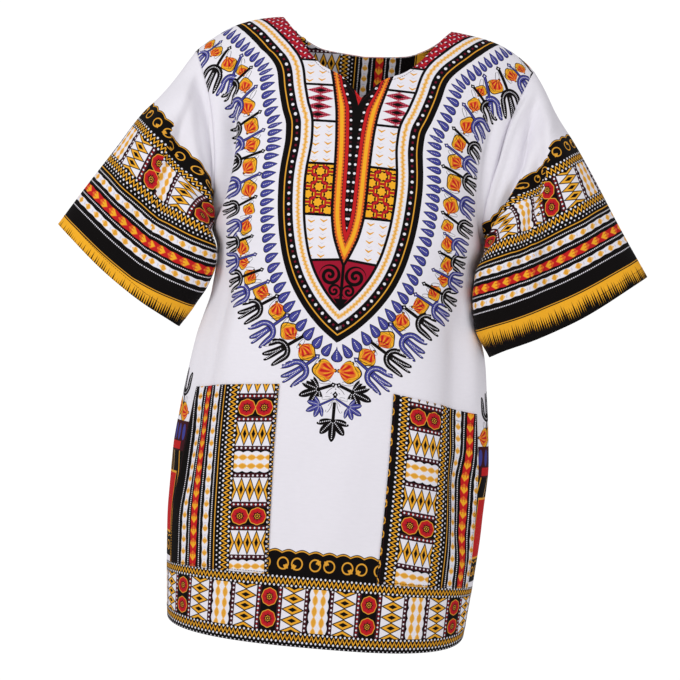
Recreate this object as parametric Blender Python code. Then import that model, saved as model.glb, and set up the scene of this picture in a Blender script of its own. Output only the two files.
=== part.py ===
"""Dashiki shirt, standing open as if worn: front, back, two sleeves, two patch pockets, back neck facing.

Metres, +Z up. The origin is between the two neck-shoulder points, where the wearer's shoulders
carry the shirt. The front faces -Y, and +X is the wearer's left.
"""

import math

import bmesh
import bpy
import numpy as np


def named(columns, rows):
    """A table with named columns, a row for each section or fold."""
    return {name: np.array(values, dtype=float) for name, values in zip(columns.split(), zip(*rows))}


# Cloth
WALL = 0.0016
POCKET_WALL = 0.0013
FACING_WALL = 0.0012
SEAM_GAP = 0.0003
WELD = 2e-5
SHARP_ANGLE = math.radians(50)

# Heights, below the neck-shoulder points
HEM = -0.775
POCKET_FOOT = -0.690
POCKET_MOUTH = -0.463
ARMPIT = -0.272
HEM_BAND = POCKET_FOOT - HEM
HEM_RISE_RIGHT = 0.012
HEM_RISE_LEFT = 0.020
HEM_RISE_POWER = 4

# Across, in metres from the centre
NECK_HALF = 0.108
SHOULDER_HALF = 0.2155
SHOULDER_TILT = 0.030
HALF_PANEL = 0.250
RIDGE_ROUNDING = 0.110
RIDGE_POWER = 2.2
SECTION_POWER = 0.833
SECTION_SAMPLES = 60

# Body sections. edge_angle is where the armhole or side seam cuts the section, from the centre line.
BODY = named("height edge_out edge_angle front_depth back_depth", (
    (-0.775, 0.187, 90.0, 0.128, 0.120),
    (-0.735, 0.191, 90.0, 0.128, 0.120),
    (-0.690, 0.195, 90.0, 0.127, 0.119),
    (-0.620, 0.199, 90.0, 0.127, 0.118),
    (-0.560, 0.199, 90.0, 0.126, 0.116),
    (-0.500, 0.194, 90.0, 0.125, 0.112),
    (-0.454, 0.188, 90.0, 0.124, 0.109),
    (-0.413, 0.182, 90.0, 0.123, 0.108),
    (-0.385, 0.175, 90.0, 0.122, 0.108),
    (-0.355, 0.167, 90.0, 0.121, 0.108),
    (-0.325, 0.164, 90.0, 0.120, 0.109),
    (-0.298, 0.166, 90.0, 0.119, 0.110),
    (-0.272, 0.175, 90.0, 0.118, 0.111),
    (-0.250, 0.175, 80.5, 0.115, 0.110),
    (-0.225, 0.174, 75.0, 0.112, 0.109),
    (-0.200, 0.175, 72.0, 0.107, 0.107),
    (-0.160, 0.180, 70.0, 0.097, 0.102),
    (-0.120, 0.188, 68.5, 0.086, 0.095),
    (-0.080, 0.202, 67.0, 0.073, 0.087),
    (-0.045, 0.217, 65.0, 0.061, 0.080),
    (0.020, 0.240, 65.0, 0.048, 0.070),
))

# The ridge that the shoulder seams lie on, and the edges of the neck
RIDGE = named("out height", (
    (0.000, 0.004),
    (0.080, 0.002),
    (0.108, 0.000),
    (0.135, -0.004),
    (0.161, -0.011),
    (0.191, -0.027),
    (0.2155, -0.047),
    (0.245, -0.080),
))
FRONT_NECK = named("out height", (
    (0.000, -0.105),
    (0.012, -0.092),
    (0.027, -0.078),
    (0.050, -0.067),
    (0.066, -0.053),
    (0.085, -0.029),
    (0.100, -0.010),
    (0.108, 0.000),
))
BACK_NECK = named("out height", (
    (0.000, -0.031),
    (0.052, -0.027),
    (0.078, -0.018),
    (0.098, -0.006),
    (0.108, 0.000),
))

# Where each share of a panel's half width ends at the top edge
TOP = named("share out", (
    (0.000, 0.000),
    (0.125, 0.027),
    (0.250, 0.054),
    (0.520, NECK_HALF),
    (1.000, SHOULDER_HALF),
))
NECK_SHARE = 0.520

# Grid lines of the panels: shares of the half width, and how many strips lie between two of them
RIGHT_POCKET = (0.250, 0.725)
LEFT_POCKET = (0.283, 0.756)
STRIPS_BETWEEN = (4, 4, 3, 4)
HEM_ROWS = 3
POCKET_ROWS = 8
WAIST_ROWS = 7
CHEST_ROWS = 11
TOP_CROWDING = 1.6
ARMHOLE_SAMPLES = 160
ARMHOLE_HOLD_POWER = 6
FACING_ROWS = 5

# Sleeve rings: the top line is the arm's upper outline, the low line is the underarm seam
SLEEVE_COLUMNS = "along top_out top_height top_y low_out low_height low_y half_depth"
RIGHT_SLEEVE = named(SLEEVE_COLUMNS, (
    (0.00, 0.2155, -0.047, 0.000, 0.1760, -0.272, 0.000, 0.050),
    (0.10, 0.2270, -0.078, -0.001, 0.1825, -0.280, -0.008, 0.055),
    (0.27, 0.2550, -0.116, -0.003, 0.1790, -0.303, -0.024, 0.057),
    (0.37, 0.2740, -0.138, -0.005, 0.1770, -0.320, -0.030, 0.055),
    (0.57, 0.3040, -0.186, -0.009, 0.1790, -0.347, -0.034, 0.048),
    (0.80, 0.3380, -0.240, -0.014, 0.1885, -0.376, -0.031, 0.041),
    (1.00, 0.3670, -0.288, -0.018, 0.2040, -0.403, -0.024, 0.036),
))
LEFT_SLEEVE = named(SLEEVE_COLUMNS, (
    (0.00, 0.2155, -0.047, 0.000, 0.1760, -0.272, 0.000, 0.050),
    (0.14, 0.2360, -0.080, -0.001, 0.1830, -0.283, -0.014, 0.056),
    (0.34, 0.2700, -0.123, -0.004, 0.1770, -0.313, -0.032, 0.057),
    (0.50, 0.3000, -0.167, -0.008, 0.1720, -0.338, -0.042, 0.051),
    (0.74, 0.3360, -0.225, -0.014, 0.1750, -0.373, -0.042, 0.043),
    (1.00, 0.3790, -0.290, -0.020, 0.1930, -0.408, -0.034, 0.037),
))
SLEEVE_RINGS = 13
SLEEVE_POWER = 0.87
SLEEVE_SAMPLES = 90
ARMHOLE_REACH = 0.34
CUFF_DIP = 0.007
UNDERARM_GAP_TIMES = 9.0
UNDERARM_GAP_REACH = 0.17

# Soft folds in the body. across is a share of the half width, and depth is out of the cloth.
# They fade out over this share of a side seam, and over this height below the top edge. A fold is
# at its full depth over more of its length as its run grows.
SEAM_FADE = 0.12
TOP_FADE = 0.06
BODY_FOLD_RUN = 1.6
SLEEVE_FOLD_RUN = 2.0
BODY_FOLD_COLUMNS = "across lean low high width depth"
FRONT_FOLDS = named(BODY_FOLD_COLUMNS, (
    (-0.720, -0.06, -0.640, -0.290, 0.110, -0.0085),
    (-0.480, -0.04, -0.760, -0.400, 0.090, 0.0035),
    (0.640, 0.06, -0.650, -0.280, 0.100, -0.0090),
    (0.840, 0.02, -0.640, -0.330, 0.080, 0.0050),
    (0.420, 0.05, -0.760, -0.420, 0.090, 0.0040),
    (-0.880, 0.10, -0.330, -0.090, 0.110, -0.0060),
    (0.860, -0.10, -0.330, -0.080, 0.110, -0.0065),
))
BACK_FOLDS = named(BODY_FOLD_COLUMNS, (
    (-0.620, -0.05, -0.770, -0.300, 0.110, -0.0095),
    (-0.270, -0.03, -0.790, -0.360, 0.120, 0.0070),
    (0.110, 0.03, -0.790, -0.330, 0.100, -0.0085),
    (0.460, 0.05, -0.790, -0.350, 0.110, 0.0075),
    (0.740, 0.04, -0.760, -0.310, 0.090, -0.0090),
    (-0.860, 0.08, -0.330, -0.090, 0.110, -0.0060),
    (0.860, -0.08, -0.330, -0.090, 0.110, -0.0060),
))

# Soft folds in the sleeves. around runs from the top line (0) over the front to the underarm (0.5)
# and up the back to 1.
SLEEVE_FOLDS = named("around around_end low high width depth", (
    (0.110, 0.150, 0.02, 0.80, 0.045, 0.0065),
    (0.205, 0.260, 0.04, 0.95, 0.055, -0.0090),
    (0.340, 0.360, 0.10, 1.20, 0.070, 0.0050),
    (0.900, 0.850, 0.05, 0.90, 0.055, 0.0050),
    (0.795, 0.730, 0.05, 1.05, 0.060, -0.0085),
    (0.640, 0.640, 0.15, 1.20, 0.070, 0.0045),
))

COLOURS = {
    "front": (0.80, 0.78, 0.82),
    "back": (0.78, 0.76, 0.80),
    "sleeve_right": (0.07, 0.05, 0.05),
    "sleeve_left": (0.07, 0.05, 0.05),
    "pocket_right": (0.45, 0.16, 0.04),
    "pocket_left": (0.45, 0.16, 0.04),
    "neck_facing": (0.50, 0.30, 0.05),
}
CLOTH_ROUGHNESS = 0.85


def smooth(xs, ys, at):
    """A curve through a table's points that never overshoots them."""
    steps = np.diff(xs)
    slopes_between = np.diff(ys) / steps
    before = slopes_between[:-1]
    after = slopes_between[1:]
    total = np.where(before + after == 0, 1.0, before + after)
    slopes = np.empty_like(ys)
    slopes[0] = slopes_between[0]
    slopes[-1] = slopes_between[-1]
    slopes[1:-1] = np.where(before * after > 0, 2 * before * after / total, 0.0)
    at = np.clip(at, xs[0], xs[-1])
    piece = np.clip(np.searchsorted(xs, at) - 1, 0, len(xs) - 2)
    t = (at - xs[piece]) / steps[piece]
    low = (1 + 2 * t) * (1 - t) ** 2 * ys[piece] + t * (1 - t) ** 2 * steps[piece] * slopes[piece]
    high = t * t * (3 - 2 * t) * ys[piece + 1] - t * t * (1 - t) * steps[piece] * slopes[piece + 1]
    return low + high


def read(table, column, at):
    """One column of a table at any value of its first column."""
    return smooth(next(iter(table.values())), table[column], at)


def ease(value):
    """0 to 1 with soft ends."""
    value = np.clip(value, 0.0, 1.0)
    return value * value * (3 - 2 * value)


def ridge_height(x):
    """Height of the shoulder ridge, with the wearer's left shoulder a little higher."""
    out = np.abs(x)
    tilt = SHOULDER_TILT * x * ease((out - NECK_HALF) / (SHOULDER_HALF - NECK_HALF))
    return read(RIDGE, "height", out) + tilt


def section(height, is_front):
    """Half a level section of the body, from the centre line to the seam: x and depth."""
    edge_angle = math.radians(float(read(BODY, "edge_angle", height)))
    depth = float(read(BODY, "front_depth" if is_front else "back_depth", height))
    half_width = float(read(BODY, "edge_out", height)) / math.sin(edge_angle) ** SECTION_POWER
    angles = np.linspace(0.0, edge_angle, SECTION_SAMPLES)
    x = half_width * np.sin(angles) ** SECTION_POWER
    y = depth * np.maximum(np.cos(angles), 0.0) ** SECTION_POWER
    return x, y


def ridge_share(x, height):
    """How much of its full depth the body has, this far below the shoulder ridge."""
    below = np.clip((ridge_height(x) - height) / RIDGE_ROUNDING, 0.0, 1.0)
    return (1 - (1 - below) ** RIDGE_POWER) ** (1 / RIDGE_POWER)


def body_point(share, height, is_front):
    """The point of the body at a share of the half width (minus is the wearer's right)."""
    side = -1.0 if share < 0 else 1.0
    x, depth = section(height, is_front)
    depth = depth * ridge_share(side * x, height)
    runs = np.concatenate([[0.0], np.cumsum(np.hypot(np.diff(x), np.diff(depth)))])
    at = abs(share) * runs[-1]
    out = np.interp(at, runs, x)
    y = np.interp(at, runs, depth)
    return np.array([side * out, -y if is_front else y, height])


def top_share(x, height, is_front):
    """The share of the half width at which a level section reaches x."""
    side = -1.0 if x < 0 else 1.0
    xs, depth = section(height, is_front)
    depth = depth * ridge_share(side * xs, height)
    runs = np.concatenate([[0.0], np.cumsum(np.hypot(np.diff(xs), np.diff(depth)))])
    return side * float(np.interp(abs(x), xs, runs / runs[-1]))


def spaced(breaks, counts):
    """Values from each break to the next, in equal steps."""
    values = [breaks[0]]
    for start, end, count in zip(breaks[:-1], breaks[1:], counts):
        for step in range(1, count + 1):
            values.append(start + (end - start) * step / count)
    return values


def panel_shares():
    """The grid lines across a panel, from the wearer's right side to the left."""
    right = spaced((0.0, RIGHT_POCKET[0], NECK_SHARE, RIGHT_POCKET[1], 1.0), STRIPS_BETWEEN)
    left = spaced((0.0, LEFT_POCKET[0], NECK_SHARE, LEFT_POCKET[1], 1.0), STRIPS_BETWEEN)
    return [-share for share in reversed(right)] + left[1:]


def armhole_heights(is_front, side):
    """Heights on the armhole edge at even steps along it, from the armpit up to the shoulder."""
    shoulder = float(ridge_height(side * SHOULDER_HALF))
    heights = np.linspace(ARMPIT, shoulder, ARMHOLE_SAMPLES)
    points = np.array([body_point(side, height, is_front) for height in heights])
    runs = np.concatenate([[0.0], np.cumsum(np.linalg.norm(np.diff(points, axis=0), axis=1))])
    return np.interp(np.linspace(0.0, runs[-1], CHEST_ROWS + 1), runs, heights)


def fold_offset(share, height, folds):
    """How far the folds move a point of the body out of its plain form."""
    offset = 0.0
    for across, lean, low, high, width, depth in zip(*folds.values()):
        middle = (low + high) / 2
        centre = across + lean * (height - middle) / (high - low)
        near = math.exp(-2 * ((share - centre) * 2 * HALF_PANEL / width) ** 2)
        reach = 1 - min(1.0, abs(height - middle) / ((high - low) / 2))
        offset += depth * near * float(ease(reach * BODY_FOLD_RUN))
    return offset


def push_folds(points, shares, folds):
    """Move the inner points of a panel along its own normals by its folds."""
    across = np.gradient(points, axis=1)
    up = np.gradient(points, axis=0)
    normals = np.cross(across, up)
    normals /= np.linalg.norm(normals, axis=2)[:, :, None]
    moved = points.copy()
    for row in range(points.shape[0]):
        for place, share in enumerate(shares):
            seam_fade = float(ease((1 - abs(share)) / SEAM_FADE))
            top_fade = float(ease((points[-1, place, 2] - points[row, place, 2]) / TOP_FADE))
            offset = fold_offset(share, points[row, place, 2], folds) * seam_fade * top_fade
            moved[row, place] += normals[row, place] * offset
    return moved


def body_panel(is_front):
    """Middle surface of the front or back as rows of points, hem first."""
    shares = panel_shares()
    neck = FRONT_NECK if is_front else BACK_NECK
    low_rows = spaced((HEM, POCKET_FOOT, POCKET_MOUTH, ARMPIT), (HEM_ROWS, POCKET_ROWS, WAIST_ROWS))
    columns = []
    for share in shares:
        side = -1.0 if share < 0 else 1.0
        x_top = side * float(read(TOP, "out", abs(share)))
        if abs(share) <= NECK_SHARE:
            top = float(read(neck, "height", abs(x_top)))
        else:
            top = float(ridge_height(x_top))
        reach = top_share(x_top, top, is_front)
        edge = armhole_heights(is_front, side)
        lift = (HEM_RISE_RIGHT if share < 0 else HEM_RISE_LEFT) * share ** HEM_RISE_POWER
        points = [body_point(share, height + lift * ease((POCKET_FOOT - height) / HEM_BAND), is_front)
                  for height in low_rows]
        for step in range(1, CHEST_ROWS + 1):
            rise = step / CHEST_ROWS
            crowded = 1 - (1 - rise) ** TOP_CROWDING
            on_edge = (edge[step] - ARMPIT) / (edge[-1] - ARMPIT)
            climb = crowded + (on_edge - crowded) * abs(share) ** ARMHOLE_HOLD_POWER
            height = ARMPIT + (top - ARMPIT) * climb
            drawn = share + (reach - share) * ease(rise)
            points.append(body_point(drawn, height, is_front))
        if abs(share) >= NECK_SHARE:
            points[-1] = np.array([x_top, 0.0, top])
        columns.append(points)
    panel = np.array(columns).transpose(1, 0, 2)
    return panel if is_front else panel[:, ::-1]


def ring_point(rows, along, around):
    """A point of a plain sleeve ring; around is 0 at the top line and 0.5 at the underarm."""
    top = np.array([read(rows, name, along) for name in ("top_out", "top_y", "top_height")])
    low = np.array([read(rows, name, along) for name in ("low_out", "low_y", "low_height")])
    angles = np.linspace(0.0, math.pi, SLEEVE_SAMPLES)
    half = np.linalg.norm(top - low) / 2
    rise = half * np.sign(np.cos(angles)) * np.abs(np.cos(angles)) ** SLEEVE_POWER
    out = read(rows, "half_depth", along) * np.sin(angles) ** SLEEVE_POWER
    runs = np.concatenate([[0.0], np.cumsum(np.hypot(np.diff(rise), np.diff(out)))])
    share = 2 * around if around <= 0.5 else 2 * (1 - around)
    run = share * runs[-1]
    direction = (top - low) / np.linalg.norm(top - low)
    y = np.interp(run, runs, out) * (-1.0 if around <= 0.5 else 1.0)
    return (top + low) / 2 + direction * np.interp(run, runs, rise) + np.array([0.0, y, 0.0])


def sleeve_rings(rows, side, armhole):
    """Middle surface of a sleeve as rings of points, armhole first."""
    count = len(armhole)
    centre = armhole.mean(axis=0)
    rings = [armhole]
    for step in range(1, SLEEVE_RINGS + 1):
        along = step / SLEEVE_RINGS
        ring = np.array([ring_point(rows, along, place / count) for place in range(count)])
        ring[:, 0] *= side
        fall = (ring[count // 2] - ring[0]) / np.linalg.norm(ring[count // 2] - ring[0])
        axis = np.array([-fall[2], 0.0, fall[0]]) * side
        dips = CUFF_DIP * ease(along) * np.sin(2 * math.pi * np.arange(count) / count) ** 2
        ring += dips[:, None] * axis
        middle = ring.mean(axis=0)
        blend = float(ease(along / ARMHOLE_REACH))
        start = middle + (armhole - centre)
        rings.append(start + (ring - start) * blend)
    return push_sleeve_folds(np.array(rings))


def push_sleeve_folds(rings):
    """Move a sleeve's rings along their normals by the sleeve folds."""
    wrapped = np.concatenate([rings[:, -1:], rings, rings[:, :1]], axis=1)
    around = np.gradient(wrapped, axis=1)[:, 1:-1]
    along = np.gradient(rings, axis=0)
    normals = np.cross(around, along)
    normals /= np.linalg.norm(normals, axis=2)[:, :, None]
    outward = np.sign((normals * (rings - rings.mean(axis=1)[:, None])).sum())
    count = rings.shape[1]
    moved = rings.copy()
    for step in range(1, rings.shape[0]):
        run = step / SLEEVE_RINGS
        for place in range(count):
            offset = 0.0
            for start, end, low, high, width, depth in zip(*SLEEVE_FOLDS.values()):
                line = start + (end - start) * run
                gap = abs(place / count - line)
                gap = min(gap, 1 - gap)
                reach = 1 - min(1.0, abs(run - (low + high) / 2) / ((high - low) / 2))
                offset += depth * math.exp(-((gap / width) ** 2)) * float(ease(reach * SLEEVE_FOLD_RUN))
            moved[step, place] += outward * normals[step, place] * offset
    return moved


def panel_faces(rows, columns, is_ring):
    """Quads of a grid of points, as index rows, wound to face out."""
    faces = []
    last = columns if is_ring else columns - 1
    for row in range(rows - 1):
        for place in range(last):
            beside = (place + 1) % columns
            faces.append((row * columns + place, row * columns + beside,
                          (row + 1) * columns + beside, (row + 1) * columns + place))
    return faces


def shared_normals(panels):
    """Outward normals of every panel, with pieces that meet at a seam sharing theirs."""
    sums = {}
    keys = {}
    for name, (points, is_ring) in panels.items():
        flat = points.reshape(-1, 3)
        keys[name] = [tuple(np.round(point / WELD).astype(int)) for point in flat]
        for face in panel_faces(points.shape[0], points.shape[1], is_ring):
            a, b, c, d = (flat[place] for place in face)
            normal = np.cross(c - a, d - b)
            for place in face:
                sums[keys[name][place]] = sums.get(keys[name][place], np.zeros(3)) + normal
    normals = {}
    for name, (points, is_ring) in panels.items():
        found = np.array([sums[key] for key in keys[name]])
        found /= np.linalg.norm(found, axis=1)[:, None]
        normals[name] = found.reshape(points.shape)
    return normals


def drawn_in(points, is_ring, amount):
    """The same panel with its edges pulled in, to leave the gap of a seam.

    A sleeve is pulled in further at the underarm, where its cloth folds back beside the body.
    """
    moved = points.copy()
    pulls = [(0, 1, 0), (-1, -2, 0)]
    if not is_ring:
        pulls += [(0, 1, 1), (-1, -2, 1)]
    for edge, inner, axis in pulls:
        start = points.take(edge, axis=axis)
        towards = points.take(inner, axis=axis) - start
        step = towards / np.linalg.norm(towards, axis=1)[:, None] * amount
        if is_ring and edge == 0:
            around = np.arange(len(step)) / len(step)
            step *= 1 + UNDERARM_GAP_TIMES * np.exp(-(((around - 0.5) / UNDERARM_GAP_REACH) ** 2))[:, None]
        if axis == 0:
            moved[edge] += step
        else:
            moved[:, edge] += step
    return moved


def rim_strip(a, b, count):
    """The cut edge of the cloth between two points of its outer side and the two inside them."""
    return [(a, b, b + count), (a, b + count, a + count)]


def cloth_solid(name, points, normals, wall, is_ring, inset):
    """A closed wall of cloth about a middle surface, as an object with its own material."""
    rows, columns = points.shape[:2]
    middle = drawn_in(points, is_ring, inset)
    outer = (middle + normals * wall / 2).reshape(-1, 3)
    inner = (middle - normals * wall / 2).reshape(-1, 3)
    count = rows * columns
    faces = []
    for a, b, c, d in panel_faces(rows, columns, is_ring):
        faces += [(a, b, c), (a, c, d)]
        faces += [(c + count, b + count, a + count), (d + count, c + count, a + count)]
    low_edge = [(place, (place + 1) % columns) for place in range(columns if is_ring else columns - 1)]
    top = (rows - 1) * columns
    for a, b in low_edge:
        faces += rim_strip(b, a, count)
        faces += rim_strip(top + a, top + b, count)
    if not is_ring:
        for row in range(rows - 1):
            a = row * columns
            b = (row + 1) * columns
            far = columns - 1
            faces += rim_strip(a, b, count)
            faces += rim_strip(b + far, a + far, count)
    mesh = bpy.data.meshes.new(name)
    mesh.from_pydata(np.concatenate([outer, inner]).tolist(), [], faces)
    made = bmesh.new()
    made.from_mesh(mesh)
    bmesh.ops.recalc_face_normals(made, faces=made.faces)
    made.to_mesh(mesh)
    made.free()
    mesh.shade_smooth()
    mesh.set_sharp_from_angle(angle=SHARP_ANGLE)
    piece = bpy.data.objects.new(name, mesh)
    bpy.context.scene.collection.objects.link(piece)
    mesh.materials.append(cloth_material(name))
    return piece


def cloth_material(name):
    """Plain cloth in the piece's own colour."""
    material = bpy.data.materials.new(name)
    material.use_nodes = True
    shader = material.node_tree.nodes["Principled BSDF"]
    shader.inputs["Base Color"].default_value = COLOURS[name] + (1.0,)
    shader.inputs["Roughness"].default_value = CLOTH_ROUGHNESS
    shader.inputs["Metallic"].default_value = 0.0
    return material


def grid_place(shares, share):
    """The grid line that lies at a share of the half width."""
    return int(np.argmin(np.abs(np.array(shares) - share)))


def clear_scene():
    for thing in list(bpy.data.objects):
        bpy.data.objects.remove(thing)


def build_shirt():
    shares = panel_shares()
    front = push_folds(body_panel(True), shares, FRONT_FOLDS)
    back_shares = shares[::-1]
    back = push_folds(body_panel(False), back_shares, BACK_FOLDS)
    armpit_row = HEM_ROWS + POCKET_ROWS + WAIST_ROWS
    sleeves = {}
    for name, side, rows in (("sleeve_right", -1.0, RIGHT_SLEEVE), ("sleeve_left", 1.0, LEFT_SLEEVE)):
        front_place = 0 if side < 0 else -1
        down_front = front[armpit_row:, front_place][::-1]
        up_back = back[armpit_row:, -1 if side < 0 else 0]
        armhole = np.concatenate([down_front[:-1], up_back[:-1]])
        rings = sleeve_rings(rows, side, armhole)
        sleeves[name] = rings if side > 0 else np.concatenate([rings[:, :1], rings[:, :0:-1]], axis=1)
    panels = {"front": (front, False), "back": (back, False)}
    for name, rings in sleeves.items():
        panels[name] = (rings, True)
    normals = shared_normals(panels)
    for name, (points, is_ring) in panels.items():
        cloth_solid(name, points, normals[name], WALL, is_ring, SEAM_GAP / 2)
    pockets = (
        ("pocket_right", -RIGHT_POCKET[1], -RIGHT_POCKET[0]),
        ("pocket_left", LEFT_POCKET[0], LEFT_POCKET[1]),
    )
    lift = WALL / 2 + SEAM_GAP + POCKET_WALL / 2
    for name, start, end in pockets:
        here = (slice(HEM_ROWS, HEM_ROWS + POCKET_ROWS + 1),
                slice(grid_place(shares, start), grid_place(shares, end) + 1))
        points = front[here] + normals["front"][here] * lift
        cloth_solid(name, points, normals["front"][here], POCKET_WALL, False, 0.0)
    drop = WALL / 2 + SEAM_GAP + FACING_WALL / 2
    here = (slice(-1 - FACING_ROWS, None),
            slice(grid_place(back_shares, NECK_SHARE), grid_place(back_shares, -NECK_SHARE) + 1))
    points = back[here] - normals["back"][here] * drop
    cloth_solid("neck_facing", points, normals["back"][here], FACING_WALL, False, SEAM_GAP / 2)


clear_scene()
build_shirt()
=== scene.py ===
"""A dashiki shirt on nobody: printed cotton front, back, sleeves and patch pockets, with its stitching.

Metres, +Z up, from between the neck-shoulder points. The front faces -Y and +X is the wearer's left.
Print sizes are in millimetres on the flat cloth.
"""

import math

import bpy
import mathutils
import numpy as np
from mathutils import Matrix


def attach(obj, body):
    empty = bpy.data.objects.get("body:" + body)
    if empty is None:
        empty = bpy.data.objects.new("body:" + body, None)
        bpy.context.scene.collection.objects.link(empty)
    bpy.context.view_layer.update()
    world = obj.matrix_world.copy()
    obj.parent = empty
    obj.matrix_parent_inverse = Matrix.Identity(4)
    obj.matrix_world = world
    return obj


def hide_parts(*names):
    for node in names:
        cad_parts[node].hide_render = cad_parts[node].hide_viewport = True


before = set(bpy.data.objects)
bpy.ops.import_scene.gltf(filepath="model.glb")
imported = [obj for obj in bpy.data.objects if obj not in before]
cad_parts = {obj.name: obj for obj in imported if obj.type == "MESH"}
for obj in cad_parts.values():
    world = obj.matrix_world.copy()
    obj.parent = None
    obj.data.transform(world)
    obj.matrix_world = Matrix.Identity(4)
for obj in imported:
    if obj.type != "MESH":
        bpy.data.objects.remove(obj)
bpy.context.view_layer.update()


def named(columns, rows):
    """A table with named columns, a row for each section or fold."""
    return {name: np.array(values, dtype=float) for name, values in zip(columns.split(), zip(*rows))}


def both_sides(columns, right, left):
    """A table for each side of the shirt."""
    return {RIGHT: named(columns, right), LEFT: named(columns, left)}


# The wearer's sides, and millimetres in a metre
RIGHT, LEFT = -1.0, 1.0
MM = 1000.0

# Heights, below the neck-shoulder points
HEM = -0.775
POCKET_FOOT = -0.690
POCKET_MOUTH = -0.463
ARMPIT = -0.272
HEM_BAND = POCKET_FOOT - HEM
HEM_RISE_RIGHT = 0.012
HEM_RISE_LEFT = 0.020
HEM_RISE_POWER = 4
POCKET_FOOT_DROP = 0.009
POCKET_ABOVE = 0.001
POCKET_BELOW = 0.0005

# Across, in metres from the centre
NECK_HALF = 0.108
SHOULDER_HALF = 0.2155
SHOULDER_TILT = 0.030
HALF_PANEL = 0.250
RIDGE_ROUNDING = 0.110
RIDGE_POWER = 2.2
SECTION_POWER = 0.833
SECTION_POINTS = 60
ARMHOLE_POINTS = 160

# Body sections. edge_angle is where the armhole or side seam cuts the section, from the centre line.
BODY = named("height edge_out edge_angle front_depth back_depth", (
    (-0.775, 0.187, 90.0, 0.128, 0.120),
    (-0.735, 0.191, 90.0, 0.128, 0.120),
    (-0.690, 0.195, 90.0, 0.127, 0.119),
    (-0.620, 0.199, 90.0, 0.127, 0.118),
    (-0.560, 0.199, 90.0, 0.126, 0.116),
    (-0.500, 0.194, 90.0, 0.125, 0.112),
    (-0.454, 0.188, 90.0, 0.124, 0.109),
    (-0.413, 0.182, 90.0, 0.123, 0.108),
    (-0.385, 0.175, 90.0, 0.122, 0.108),
    (-0.355, 0.167, 90.0, 0.121, 0.108),
    (-0.325, 0.164, 90.0, 0.120, 0.109),
    (-0.298, 0.166, 90.0, 0.119, 0.110),
    (-0.272, 0.175, 90.0, 0.118, 0.111),
    (-0.250, 0.175, 80.5, 0.115, 0.110),
    (-0.225, 0.174, 75.0, 0.112, 0.109),
    (-0.200, 0.175, 72.0, 0.107, 0.107),
    (-0.160, 0.180, 70.0, 0.097, 0.102),
    (-0.120, 0.188, 68.5, 0.086, 0.095),
    (-0.080, 0.202, 67.0, 0.073, 0.087),
    (-0.045, 0.217, 65.0, 0.061, 0.080),
    (0.020, 0.240, 65.0, 0.048, 0.070),
))

# The ridge that the shoulder seams lie on, and the edges of the neck
RIDGE = named("out height", (
    (0.000, 0.004),
    (0.080, 0.002),
    (0.108, 0.000),
    (0.135, -0.004),
    (0.161, -0.011),
    (0.191, -0.027),
    (0.2155, -0.047),
    (0.245, -0.080),
))
FRONT_NECK = named("out height", (
    (0.000, -0.105),
    (0.012, -0.092),
    (0.027, -0.078),
    (0.050, -0.067),
    (0.066, -0.053),
    (0.085, -0.029),
    (0.100, -0.010),
    (0.108, 0.000),
))
BACK_NECK = named("out height", (
    (0.000, -0.031),
    (0.052, -0.027),
    (0.078, -0.018),
    (0.098, -0.006),
    (0.108, 0.000),
))

# Where each share of a panel's half width ends at the top edge
TOP = named("share out", (
    (0.000, 0.000),
    (0.125, 0.027),
    (0.250, 0.054),
    (0.520, NECK_HALF),
    (1.000, SHOULDER_HALF),
))
NECK_SHARE = 0.520

# How far the rows of the chest crowd towards the top edge, and the power of the share of the half width by
# which they take the armhole's own steps instead
TOP_CROWDING = 1.6
EDGE_POWER = 6

# Sleeve rings: the top line is the arm's upper outline, the low line is the underarm seam
SLEEVE_COLUMNS = "along top_out top_height top_y low_out low_height low_y half_depth"
RIGHT_SLEEVE = named(SLEEVE_COLUMNS, (
    (0.00, 0.2155, -0.047, 0.000, 0.1760, -0.272, 0.000, 0.050),
    (0.10, 0.2270, -0.078, -0.001, 0.1825, -0.280, -0.008, 0.055),
    (0.27, 0.2550, -0.116, -0.003, 0.1790, -0.303, -0.024, 0.057),
    (0.37, 0.2740, -0.138, -0.005, 0.1770, -0.320, -0.030, 0.055),
    (0.57, 0.3040, -0.186, -0.009, 0.1790, -0.347, -0.034, 0.048),
    (0.80, 0.3380, -0.240, -0.014, 0.1885, -0.376, -0.031, 0.041),
    (1.00, 0.3670, -0.288, -0.018, 0.2040, -0.403, -0.024, 0.036),
))
LEFT_SLEEVE = named(SLEEVE_COLUMNS, (
    (0.00, 0.2155, -0.047, 0.000, 0.1760, -0.272, 0.000, 0.050),
    (0.14, 0.2360, -0.080, -0.001, 0.1830, -0.283, -0.014, 0.056),
    (0.34, 0.2700, -0.123, -0.004, 0.1770, -0.313, -0.032, 0.057),
    (0.50, 0.3000, -0.167, -0.008, 0.1720, -0.338, -0.042, 0.051),
    (0.74, 0.3360, -0.225, -0.014, 0.1750, -0.373, -0.042, 0.043),
    (1.00, 0.3790, -0.290, -0.020, 0.1930, -0.408, -0.034, 0.037),
))
SLEEVE_POWER = 0.87
RING_POINTS = 90
ARMHOLE_REACH = 0.34
CUFF_DIP = 0.007

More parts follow.
